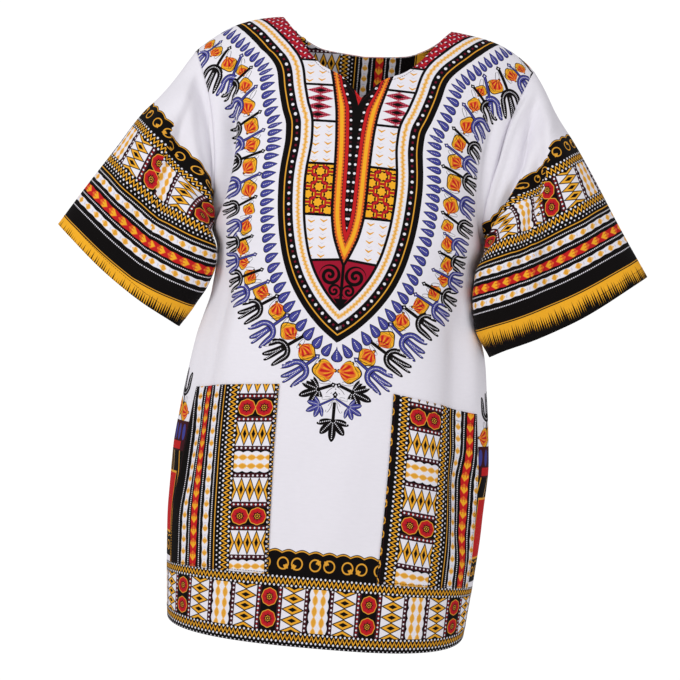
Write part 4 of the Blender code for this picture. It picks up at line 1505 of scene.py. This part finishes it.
def placed_motifs(across, up):
    """Each quad's flower and sprig: places in the print, the motif's axes, and its kind and stem."""
    spots = np.stack([across, up, np.ones_like(up)], axis=-1)
    flower_way, sprig_way = np.radians(FLOWERS["way"]), np.radians(SPRIGS["way"])
    ahead = np.stack([-np.cos(flower_way), np.sin(flower_way)], axis=1) * FLOWERS["long"][:, None]
    centres = np.stack([FLOWERS["across"], FLOWERS["up"]], axis=1)
    near = nearest(across, up, centres - ahead / 4, centres + ahead / 4)
    scales = FLOWERS["long"][near] / FLOWER_LONG
    axes = motif_axes(across, (centres - ahead / 2)[near], flower_way[near], scales)
    flower = (spots, axes, np.zeros(len(near)))
    ahead = np.stack([-np.cos(sprig_way), np.sin(sprig_way)], axis=1)
    starts = np.stack([SPRIGS["across"], SPRIGS["up"]], axis=1)
    hands = starts + ahead * SPRIGS["stem"][:, None]
    near = nearest(across, up, starts, hands + ahead * (HAND_REACH * SPRIGS["scale"])[:, None])
    axes = motif_axes(across, hands[near], sprig_way[near], SPRIGS["scale"][near])
    code = SPRIGS["kind"] * KIND_CODE + SPRIGS["stem"] / SPRIGS["scale"]
    return {"flower": flower, "sprig": (spots, axes, code[near])}


def outline_values(across, up, corners):
    """For places in the print: the distance outside an outline, and the way along it and round its tip."""
    xs, ys = corners["across"], corners["up"]
    runs = run_lengths(np.diff(xs), np.diff(ys))
    fine = np.linspace(0.0, runs[-1], 400)
    line = np.stack([smooth(runs, xs, fine), smooth(runs, ys, fine)], axis=1)
    start, step = line[:-1], np.diff(line, axis=0)
    spot = np.stack([np.abs(across).ravel(), up.ravel()], axis=1)
    best = np.full(len(spot), 1e9)
    signs = np.ones(len(spot))
    way = np.zeros(len(spot))
    for a, d, run in zip(start, step, fine):
        share = np.clip(((spot - a) @ d) / (d @ d), 0.0, 1.0)
        gap = spot - a - share[:, None] * d
        reach = np.hypot(gap[:, 0], gap[:, 1])
        nearer = reach < best
        best = np.where(nearer, reach, best)
        signs = np.where(nearer, np.sign(gap[:, 0] * d[1] - gap[:, 1] * d[0]), signs)
        way = np.where(nearer, run + share * np.hypot(d[0], d[1]), way)
    widest = math.atan2(step[0][1], step[0][0])
    round_tip = np.arctan2(spot[:, 0], ys[0] - spot[:, 1])
    turn = np.where((way < 1e-6) & (signs > 0), np.clip(round_tip, 0.0, widest), widest)
    mirrored = np.where(across.ravel() < 0, -1.0, 1.0)
    return [value.reshape(across.shape) for value in (best * signs, (way + turn * TURN_REACH) * mirrored)]


def print_shift(up):
    """How far the print lies from the middle of the cloth at a height."""
    lost = SHIFT_LOST * ease((up - SHIFT_SHOULDER) / SHIFT_SHOULDER_FADE)
    return SHIFT * ease((up - SHIFT_FOOT) / SHIFT_FOOT_FADE) * (1 - lost)


# The border as it lies on the hem, the sleeves and the facing
BORDER_HIGH = 84.5
HEM_EDGE = 3.6
HEM_TILE = 52.5
HEM_SHIFT = 2.4
HEM_SCALE = 1.09
HEM_RINGS_HALF = 78.0
SLEEVE_TILE = 43.0
FACING_SHIFT = 32.4
SIDE_PRINT_START = 189.0


def hem_height(shares, heights):
    """Height in the hem's border in millimetres: it is narrower towards the side seams."""
    foot = HEM + np.where(shares < 0, HEM_RISE_RIGHT, HEM_RISE_LEFT) * shares ** HEM_RISE_POWER
    top = POCKET_FOOT - POCKET_FOOT_DROP * shares ** 2
    return BORDER_HIGH * (heights - foot) / (top - foot)


GROUPS = {"weave": weave_group(), "border": border_group(), "rings": ring_group(), "chest": chest_group(),
          "side": side_group()}


def border(tree, along, up, **others):
    """The border print as it lies on a sleeve, apart from the values given."""
    values = {"tile_height": SLEEVE_TILE, "ring_scale": 1.0, "ring_step": RING_STEP, "rings": 1.0} | others
    named_values = {label.replace("_", " ").capitalize(): value for label, value in values.items()}
    node = use_group(tree, GROUPS["border"], {"Along": along, "Up": up} | named_values)
    return node.outputs["Color"]


def draw_plain(tree, across, up):
    """Unprinted white."""
    return WHITE


def draw_chest(tree, across, up):
    """The breast panel."""
    out, run, printed = attribute(tree, "outline")
    point, point_run, _ = attribute(tree, "point")
    node = use_group(tree, GROUPS["chest"], {
        "Across": printed, "Up": up, "Outline": out, "Run": run, "Point": point, "Point run": point_run})
    return node.outputs["Color"]


def draw_rings(tree, across, up):
    """The leaves and flowers round the breast panel."""
    out, run, _ = attribute(tree, "outline")
    flower_u, flower_v, _ = attribute(tree, "flower")
    sprig_u, sprig_v, coded = attribute(tree, "sprig")
    kind = work("FLOOR", coded / KIND_CODE)
    node = use_group(tree, GROUPS["rings"], {
        "Outline": out, "Run": run, "Flower across": flower_u, "Flower up": flower_v, "Sprig across": sprig_u,
        "Sprig up": sprig_v, "Sprig kind": kind, "Stem": coded - kind * KIND_CODE})
    return node.outputs["Color"]


def draw_hem(tree, across, up):
    """The border along the hem, with rings only in its middle."""
    _, _, height = attribute(tree, "point")
    return border(tree, (across - HEM_SHIFT) * HEM_SCALE, height - (HEM_EDGE + ZIGZAG_BAND),
                  tile_height=HEM_TILE, ring_scale=1.22, ring_step=17.4,
                  rings=over(HEM_RINGS_HALF, size(across)))


def draw_side(tree, across, up):
    """The side of the skirt, counted from the outer edge of the pocket."""
    past = size(across) - SIDE_PRINT_START - over(0.0, across) * 8.0
    return use_group(tree, GROUPS["side"], {"Past": past, "Up": up}).outputs["Color"]


def draw_sleeve(tree, across, up):
    """The border round a sleeve."""
    along, rise, _ = attribute(tree, "sleeve")
    return border(tree, 0.0 - along, rise)


def draw_pocket(start, along):
    """The border upright on a pocket, from where its tiles and its repeat start."""
    return lambda tree, across, up: border(tree, up + along, start - across, ring_scale=0.9)


def draw_facing(tree, across, up):
    """The border upright on the facing."""
    return border(tree, up, 0.0 - (across + FACING_SHIFT))


# Which of BODY_PRINTS lies where, in millimetres: the ring of leaves reaches this far out of the breast
# panel, the palms at its tip lie in a strip of their own, and the hem's print starts higher than its border
PLAIN, CHEST, RINGS, HEM_PRINT, SIDE = range(5)
RING_REACH = 92.0
PALM_STRIP = 44.0
PALM_STRIP_FOOT = -540.0
SIDE_START = 180.0
SIDE_TOP = -435.0
HEM_PRINT_TOP = -645.0
BORDER_TOP = -690.0


def panel_zones(across, up, out):
    """Which material each quad of the front or back takes."""
    low = np.minimum(np.minimum(out[:-1, :-1], out[1:, :-1]), np.minimum(out[:-1, 1:], out[1:, 1:]))
    aside, height = np.abs(middle(across)), middle(up)
    zones = np.full(low.shape, PLAIN)
    zones[(low < RING_REACH) | ((aside < PALM_STRIP) & (height > PALM_STRIP_FOOT))] = RINGS
    zones[low < SOFT_EDGE] = CHEST
    zones[height < HEM_PRINT_TOP] = HEM_PRINT
    zones[(aside > SIDE_START) & (height < SIDE_TOP)] = SIDE
    zones[height < BORDER_TOP] = HEM_PRINT
    return zones


def body_values(across, up, shares, heights):
    """What the prints of a panel are laid by, for each of its points."""
    across, up = across * MM, up * MM
    printed = across + print_shift(up)
    out, run = outline_values(printed, up, OUTLINE)
    point, point_run = outline_values(printed, up, POINT)
    return {
        "cloth": np.stack([across, up, np.zeros_like(up)], axis=-1),
        "outline": np.stack([out, run, printed], axis=-1),
        "point": np.stack([point, point_run, hem_height(shares, heights)], axis=-1),
    }


# How many rows of the back the facing covers, and how finely a pocket is drawn
FACING_DEPTH = 36
POCKET_STRIPS = 64
POCKET_RISES = 60

# Shares of the half width at the foot and the top of the inner and outer edges, the top's fall outwards,
# and where the border's tiles and repeat start
POCKETS = (
    ("pocket_right", RIGHT, (0.234, 0.797, 0.266, 0.766, 0.0135), 47.8, 94.0),
    ("pocket_left", LEFT, (0.262, 0.781, 0.272, 0.755, 0.0180), 64.6, 87.0),
)

# Where the print starts round each sleeve, the foot of its tiles, how that climbs and from where it climbs
# more, and then where the print behind the tuck starts and its scale
SLEEVE_PRINTS = {RIGHT: (30.0, 113.0, 0.03, 140.0, 125.0, 0.80), LEFT: (37.0, 124.5, 0.06, 400.0, 163.0, 1.0)}
ROUND_SCALE = 0.85
CLIMB_START = 30.0
STEEPER = 0.14

# How far the print jumps at the tuck, and the heights over which the jump comes in
LAP_STEP = {RIGHT: 11.0, LEFT: 15.0}
LAP_FROM = 20.0
LAP_FADE = 50.0

# Turned edges, stitches and seams, in metres
HEM_TURN = 0.012
CUFF_TURN = 0.013
NECK_TURN = 0.005
POCKET_STITCH = 0.0025
STITCH_STEP = 0.0034
STITCH_HALF = 0.0013
STITCH_GAP = 0.00002
THREAD_HALF = 0.00028
THREAD_HIGH = 0.000336
SEAM_STEP = 0.003
SEAM_HALF = 0.0008
SEAM_HIGH = 0.00064
SEAM_SIDES = 6
SIDE_PRINT_TOP = -0.520

# The corners of a stitch, along it, across it and up, and its faces
STITCH_CORNERS = ((-1, 0.7, 0), (-1, -0.7, 0), (0, -1, 1), (0, 1, 1), (1, -0.7, 0), (1, 0.7, 0))
STITCH_FACES = ((0, 1, 2, 3), (3, 2, 4, 5), (0, 3, 5), (1, 4, 2), (0, 5, 4, 1))

EDGES = {(is_front, side): armhole_heights(is_front, side)
         for is_front in (True, False) for side in (RIGHT, LEFT)}
BODY_PRINTS = [cotton(name, draw) for name, draw in (
    ("white cotton", draw_plain), ("breast panel cotton", draw_chest), ("leaf ring cotton", draw_rings),
    ("hem border cotton", draw_hem), ("side cotton", draw_side))]


def at_places(grid, rows, columns):
    """A grid's values at rows and columns that may lie between its own."""
    i = np.clip(np.floor(rows).astype(int), 0, grid.shape[0] - 2)
    j = np.clip(np.floor(columns).astype(int), 0, grid.shape[1] - 2)
    a = (rows - i)[..., None]
    b = (columns - j)[..., None]
    low = grid[i, j] * (1 - b) + grid[i, j + 1] * b
    high = grid[i + 1, j] * (1 - b) + grid[i + 1, j + 1] * b
    return low * (1 - a) + high * a


def pocket_patch(points, normals, side, corners):
    """A pocket on the front, foot first: points, normals, and millimetres from its inner and top edges."""
    inner_foot, outer_foot, inner_top, outer_top, drop = corners
    u, v = np.meshgrid(np.linspace(0.0, 1.0, POCKET_STRIPS + 1), np.linspace(0.0, 1.0, POCKET_RISES + 1))
    inner = inner_foot + (inner_top - inner_foot) * v
    outer = outer_foot + (outer_top - outer_foot) * v
    share = (inner + (outer - inner) * u) * side
    top = POCKET_MOUTH + POCKET_ABOVE - drop * u
    foot = POCKET_FOOT - POCKET_BELOW - POCKET_FOOT_DROP * share ** 2
    heights = foot + (top - foot) * v
    rows = (heights - HEM) / (ARMPIT - HEM) * SKIRT_ROWS
    columns = (share + 1) * HALF_STRIPS
    spots, out = at_places(points, rows, columns), at_places(normals, rows, columns)
    out /= np.linalg.norm(out, axis=2)[:, :, None]
    steps = np.linalg.norm(np.diff(spots, axis=1), axis=2)
    across = np.concatenate([np.zeros((len(spots), 1)), np.cumsum(steps, axis=1)], axis=1)
    made = (spots, out, across * MM, (heights - top) * MM)
    return made if side > 0 else tuple(value[:, ::-1] for value in made)


def sleeve_print(across, down, side):
    """What a sleeve's print is laid by.

    Ways round it and heights for each point, the three axes of the print before and behind the tuck and at
    the back, and which of them each quad takes.
    """
    count = across.shape[1]
    half = count // 2
    whole = 2 * across[:, half:half + 1]
    back = across - whole
    back[:, 0] = 0.0
    start, rise, steep, beyond, second, scale = SLEEVE_PRINTS[side]
    foot = rise + steep * np.maximum(across - CLIMB_START, 0.0) + STEEPER * np.maximum(across - beyond, 0.0)
    heights = down - foot
    step = LAP_STEP[side] * ease((heights - LAP_FROM) / LAP_FADE)
    spots = np.stack([across, back, heights, down - rise, step, np.ones_like(across)], axis=-1)
    mid = (across[:-1] + across[1:]) / 2
    mid = (mid + np.roll(mid, -1, axis=1)) / 2
    limit = read(TUCKS[side], "around", (down[:-1] + down[1:]) / (2 * MM)) * MM
    outboard = [[ROUND_SCALE, 0, 0, 0, 0, -ROUND_SCALE * start], [0, 0, 1, 0, 0, 0]]
    inboard = [[scale, 0, 0, 0, 0, REPEAT - scale * second], [0, 0, 1, 0, 1, 0]]
    behind = [[0, ROUND_SCALE, 0, 0, 0, -ROUND_SCALE * start], [0, 0, 0, 1, 0, 0]]
    kinds = np.where(mid < limit, 0, 1)
    kinds[:, half:] = 2
    return spots, np.array([outboard, inboard, behind], dtype=float), kinds


def edge_line(points, normals, inset):
    """A line on the cloth at a distance from its last row, and the normals along it."""
    steps = np.linalg.norm(np.diff(points[::-1], axis=0), axis=2)
    runs = np.concatenate([np.zeros((1, points.shape[1])), np.cumsum(steps, axis=0)])
    last = len(points) - 1
    rows = np.array([last - np.interp(inset, run, np.arange(last + 1)) for run in runs.T])
    columns = np.arange(points.shape[1], dtype=float)
    return at_places(points, rows, columns), at_places(normals, rows, columns)


def along_line(line, normals, step):
    """Even steps along a line: places, directions and normals."""
    runs = run_lengths(*np.diff(line, axis=0).T)
    at = np.arange(step / 2, runs[-1], step)
    places = np.stack([np.interp(at, runs, line[:, axis]) for axis in range(3)], axis=1)
    out = np.stack([np.interp(at, runs, normals[:, axis]) for axis in range(3)], axis=1)
    out /= np.linalg.norm(out, axis=1)[:, None]
    ways = np.gradient(places, axis=0)
    ways /= np.linalg.norm(ways, axis=1)[:, None]
    return places, ways, out


def sewing(name, vertices, faces, colour, is_smooth):
    """Thread or a seam of a colour, as a plain mesh on the shirt."""
    mesh = bpy.data.meshes.new(name)
    mesh.from_pydata(vertices.tolist(), [], faces)
    mesh.materials.append(THREADS[colour])
    mesh.polygons.foreach_set("use_smooth", np.full(len(mesh.polygons), is_smooth))
    made = add_object(name, mesh)
    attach(made, "root")
    return made


def stitches(name, lines, colour):
    """A row of short machine stitches along each line on the cloth."""
    blocks = []
    for line, normals in lines:
        places, ways, out = along_line(line, normals, STITCH_STEP)
        aside = np.cross(out, ways)
        blocks.append(np.stack([
            places + ways * along * STITCH_HALF + aside * wide * THREAD_HALF
            + out * (SHELL / 2 + STITCH_GAP + high * THREAD_HIGH)
            for along, wide, high in STITCH_CORNERS], axis=1))
    spots = np.concatenate(blocks).reshape(-1, 3)
    starts = range(0, len(spots), len(STITCH_CORNERS))
    faces = [[start + corner for corner in face] for start in starts for face in STITCH_FACES]
    return sewing(name, spots, faces, colour, False)


def seam(name, lines, colour):
    """The low rounded ridge where two pieces of cloth are sewn together."""
    vertices, faces = [], []
    angles = np.linspace(0.0, 2 * math.pi, SEAM_SIDES, endpoint=False)
    for line, normals in lines:
        places, ways, out = along_line(line, normals, SEAM_STEP)
        aside = np.cross(out, ways)
        first = sum(len(block) for block in vertices)
        rings = (places[:, None] + np.cos(angles)[None, :, None] * aside[:, None] * SEAM_HALF
                 + np.sin(angles)[None, :, None] * out[:, None] * SEAM_HIGH)
        vertices.append(rings.reshape(-1, 3))
        row, place = np.meshgrid(np.arange(len(places) - 1), np.arange(SEAM_SIDES), indexing="ij")
        a = first + row * SEAM_SIDES + place
        b = first + row * SEAM_SIDES + (place + 1) % SEAM_SIDES
        faces.append(np.stack([a, b, b + SEAM_SIDES, a + SEAM_SIDES], axis=-1).reshape(-1, 4))
    return sewing(name, np.concatenate(vertices), np.concatenate(faces).tolist(), colour, True)


def thread(name, colour):
    """Sewing thread or a bound seam, with painted shade in the grooves of a fine twist across it."""
    material, tree, shader = new_material(name, THREAD)
    place = tree.nodes.new("ShaderNodeTexCoord")
    parts = tree.nodes.new("ShaderNodeSeparateXYZ")
    tree.links.new(place.outputs["Object"], parts.inputs[0])
    x, y, z = (Value(tree, parts.outputs[axis]) * MM for axis in range(3))
    # Painted shade: darker stripes where the grooves of the thread's twist would lie in shade.
    twist = size(wave(x + y * 0.6 + z * 0.8, 0.5))
    painted_twist_shade = tuple(part * 0.72 for part in colour)
    paint = Paint(tree, colour).lay(painted_twist_shade, twist * 0.8)
    tree.links.new(paint.colour, shader.inputs["Base Color"])
    return material


def make_panel(name, is_front):
    """The front or back: its cloth, its stitches, and its points, normals, values and shares."""
    points, across, up, shares = body_panel(is_front)
    normals = grid_normals(points, False)
    values = body_values(across, up, shares, points[:, :, 2])
    zones = panel_zones(across * MM, up * MM, values["outline"][:, :, 0])
    motifs = placed_motifs(values["outline"][:, :, 2], up * MM)
    made = cloth(name + "_cloth", points, normals, SHELL, values, zones, BODY_PRINTS, placed=motifs)
    neck = np.abs(shares[0]) < NECK_SHARE + 0.001
    sewn = [
        stitches(name + "_hem_stitches", [edge_line(points[::-1], normals[::-1], HEM_TURN)], "black"),
        stitches(name + "_neck_stitches", [edge_line(points[:, neck], normals[:, neck], NECK_TURN)], "black"),
    ]
    return made, sewn, (points, normals, values, shares)


def edge_columns(side):
    """The columns of the front and the back that lie on a side's armhole and side seam."""
    return (0, -1) if side == RIGHT else (-1, 0)


def make_sleeve(name, side, rows, front, back):
    """A sleeve on the armhole edges of the panels: its cloth, and its cuff stitches and seams."""
    front_edge, back_edge = edge_columns(side)
    down_front, down_out = (grid[SKIRT_ROWS:, front_edge][::-1] for grid in front[:2])
    up_back, up_out = (grid[SKIRT_ROWS:, back_edge] for grid in back[:2])
    rings, across, down = sleeve(rows, side, np.concatenate([down_front[:-1], up_back[:-1]]))
    spots, axes, kinds = sleeve_print(across * MM, down * MM, side)
    if side == RIGHT:
        rings, across, down, spots = (np.concatenate([grid[:, :1], grid[:, :0:-1]], axis=1)
                                      for grid in (rings, across, down, spots))
        kinds = kinds[:, ::-1]
    normals = grid_normals(rings, True)
    values = {"cloth": np.stack([across * MM, down * MM, np.zeros_like(down)], axis=-1)}
    placed = {"sleeve": (spots, axes[kinds.ravel()], np.zeros(kinds.size))}
    material = cotton(name.replace("_", " ") + " cotton", draw_sleeve)
    made = cloth(name + "_cloth", rings, normals, SHELL, values, 0, [material], is_ring=True, placed=placed)
    closed = [np.concatenate([grid, grid[:, :1]], axis=1) for grid in (rings, normals)]
    underarm = rings.shape[1] // 2
    edge = np.concatenate([down_front, up_back[1:]])
    edge_out = np.concatenate([down_out, up_out[1:]]) + normals[0, 0]
    sewn = [
        stitches(name + "_cuff_stitches", [edge_line(*closed, CUFF_TURN)], "black"),
        seam(name + "_seam", [(edge, edge_out), (rings[:, underarm], normals[:, underarm])], "white"),
    ]
    return made, sewn


def side_seams(label, side, front, back):
    """A side seam, in black thread through the side print and in white above it."""
    front_edge, back_edge = edge_columns(side)
    skirt = slice(None, SKIRT_ROWS + 1)
    line = front[0][skirt, front_edge]
    out = front[1][skirt, front_edge] + back[1][skirt, back_edge]
    low = int(np.searchsorted(line[:, 2], SIDE_PRINT_TOP))
    return [seam("side_seam_" + label, [(line[low:], out[low:])], "white"),
            seam("low_side_seam_" + label, [(line[:low + 1], out[:low + 1])], "black")]


def shoulder_seam(label, side, front):
    """The seam from the neck to the armhole along a shoulder."""
    points, normals, _, shares = front
    top = np.flatnonzero(shares[0] * side >= NECK_SHARE - 0.001)
    out = normals[-1, top] * [0, 0, 1] + [0, 0, 0.5]
    return seam("shoulder_seam_" + label, [(points[-1, top], out)], "black")


def make_pocket(name, side, corners, start, along, front):
    """A patch pocket on the front: its cloth, and the stitches round three edges and along its mouth."""
    spots, out, across, below = pocket_patch(*front[:2], side, corners)
    values = {"cloth": np.stack([across, below, np.zeros_like(below)], axis=-1)}
    material = cotton(name.replace("_", " ") + " cotton", draw_pocket(start, along))
    lifted = spots + out * POCKET_LIFT
    made = cloth(name + "_cloth", lifted, out, SHELL, values, 0, [material])
    turned_points, turned_out = lifted.transpose(1, 0, 2), out.transpose(1, 0, 2)
    lines = [edge_line(turned_points, turned_out, POCKET_STITCH),
             edge_line(turned_points[::-1], turned_out[::-1], POCKET_STITCH),
             edge_line(lifted[::-1], out[::-1], POCKET_STITCH), edge_line(lifted, out, CUFF_TURN)]
    return made, [stitches(name + "_stitches", lines, "black")]


def make_facing(back):
    """The facing inside the back neck."""
    points, normals, values, shares = back
    columns = np.flatnonzero(np.abs(shares[0]) < NECK_SHARE + 0.001)
    here = (slice(-FACING_DEPTH, None), slice(columns[0], columns[-1] + 1))
    material = cotton("neck facing cotton", draw_facing, is_printed_inside=True)
    inner = points[here] - normals[here] * POCKET_LIFT
    kept = {label: value[here] for label, value in values.items()}
    return cloth("neck_facing_cloth", inner, normals[here], SHELL, kept, 0, [material])


def build():
    """Every piece of cloth, by name, and the seams and stitches on each of them."""
    made, sewn, panels = {}, {}, {}
    for name, is_front in (("front", True), ("back", False)):
        made[name], sewn[name], panels[name] = make_panel(name, is_front)
    front, back = panels["front"], panels["back"]
    for label, side, rows in (("right", RIGHT, RIGHT_SLEEVE), ("left", LEFT, LEFT_SLEEVE)):
        name = "sleeve_" + label
        made[name], sewn[name] = make_sleeve(name, side, rows, front, back)
        sewn["front"] += side_seams(label, side, front, back)
    for label, side in (("right", RIGHT), ("left", LEFT)):
        sewn["back"].append(shoulder_seam(label, side, front))
    for name, side, corners, start, along in POCKETS:
        made[name], sewn[name] = make_pocket(name, side, corners, start, along, front)
    made["neck_facing"], sewn["neck_facing"] = make_facing(back), []
    return made, sewn


THREADS = {"white": thread("white thread", WHITE), "black": thread("black thread", MAROON)}
CLOTHS, SEWN = build()
for name, made in CLOTHS.items():
    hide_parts(name)
    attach(made, "root")


def lamp(name, place, target, wide, power):
    """A square soft light that points at a target."""
    data = bpy.data.lights.new(name, "AREA")
    data.shape = "RECTANGLE"
    data.size = data.size_y = wide
    data.energy = power
    made = add_object(name, data)
    made.location = place
    aim = mathutils.Vector(target) - mathutils.Vector(place)
    made.rotation_euler = aim.to_track_quat("-Z", "Y").to_euler()


FLOOR_HEIGHT = -1.0
ROOM_LIGHT = 0.52
BACKDROP_LIGHT = 1.05
LENS = 91.35
FILM_WIDTH = 36.0
CAMERA_PLACE = (0.0, -2.2, -0.403)
CAMERA_ROLL = 5.0
LAMPS = (
    ("key light", (-1.9, -2.4, 1.1), (0.0, 0.0, -0.35), 1.0, 46.0),
    ("fill light", (2.2, -2.4, 0.0), (0.0, 0.0, -0.4), 1.6, 18.0),
)


def studio():
    """Pale floor, white surroundings, soft light from the front, and the camera."""
    floor = bpy.data.meshes.new("floor")
    floor.from_pydata([(-3, -4, 0), (3, -4, 0), (3, 0.5, 0), (-3, 0.5, 0)], [], [(0, 1, 2, 3)])
    floor.materials.append(new_material("pale floor", {"Base Color": (0.9, 0.9, 0.9, 1.0)})[0])
    made = add_object("floor", floor)
    made.location = (0.0, 0.0, FLOOR_HEIGHT)
    bpy.context.scene.view_settings.view_transform = "Standard"
    world = bpy.context.scene.world or bpy.data.worlds.new("studio")
    bpy.context.scene.world = world
    world.use_nodes = True
    tree = world.node_tree
    light = tree.nodes["Background"]
    set_inputs(light, {"Color": (1.0, 0.985, 1.0, 1.0), "Strength": ROOM_LIGHT})
    seen = tree.nodes.new("ShaderNodeBackground")
    set_inputs(seen, {"Color": (1.0, 1.0, 1.0, 1.0), "Strength": BACKDROP_LIGHT})
    path = tree.nodes.new("ShaderNodeLightPath")
    either = tree.nodes.new("ShaderNodeMixShader")
    tree.links.new(path.outputs["Is Camera Ray"], either.inputs[0])
    tree.links.new(light.outputs[0], either.inputs[1])
    tree.links.new(seen.outputs[0], either.inputs[2])
    tree.links.new(either.outputs[0], tree.nodes["World Output"].inputs["Surface"])
    for values in LAMPS:
        lamp(*values)
    data = bpy.data.cameras.new("camera")
    data.lens = LENS
    data.sensor_width = FILM_WIDTH
    camera = add_object("camera", data)
    level = mathutils.Matrix.Rotation(math.radians(90), 4, "X")
    roll = mathutils.Matrix.Rotation(math.radians(CAMERA_ROLL), 4, "Z")
    camera.matrix_world = mathutils.Matrix.Translation(CAMERA_PLACE) @ level @ roll
    bpy.context.scene.camera = camera


studio()
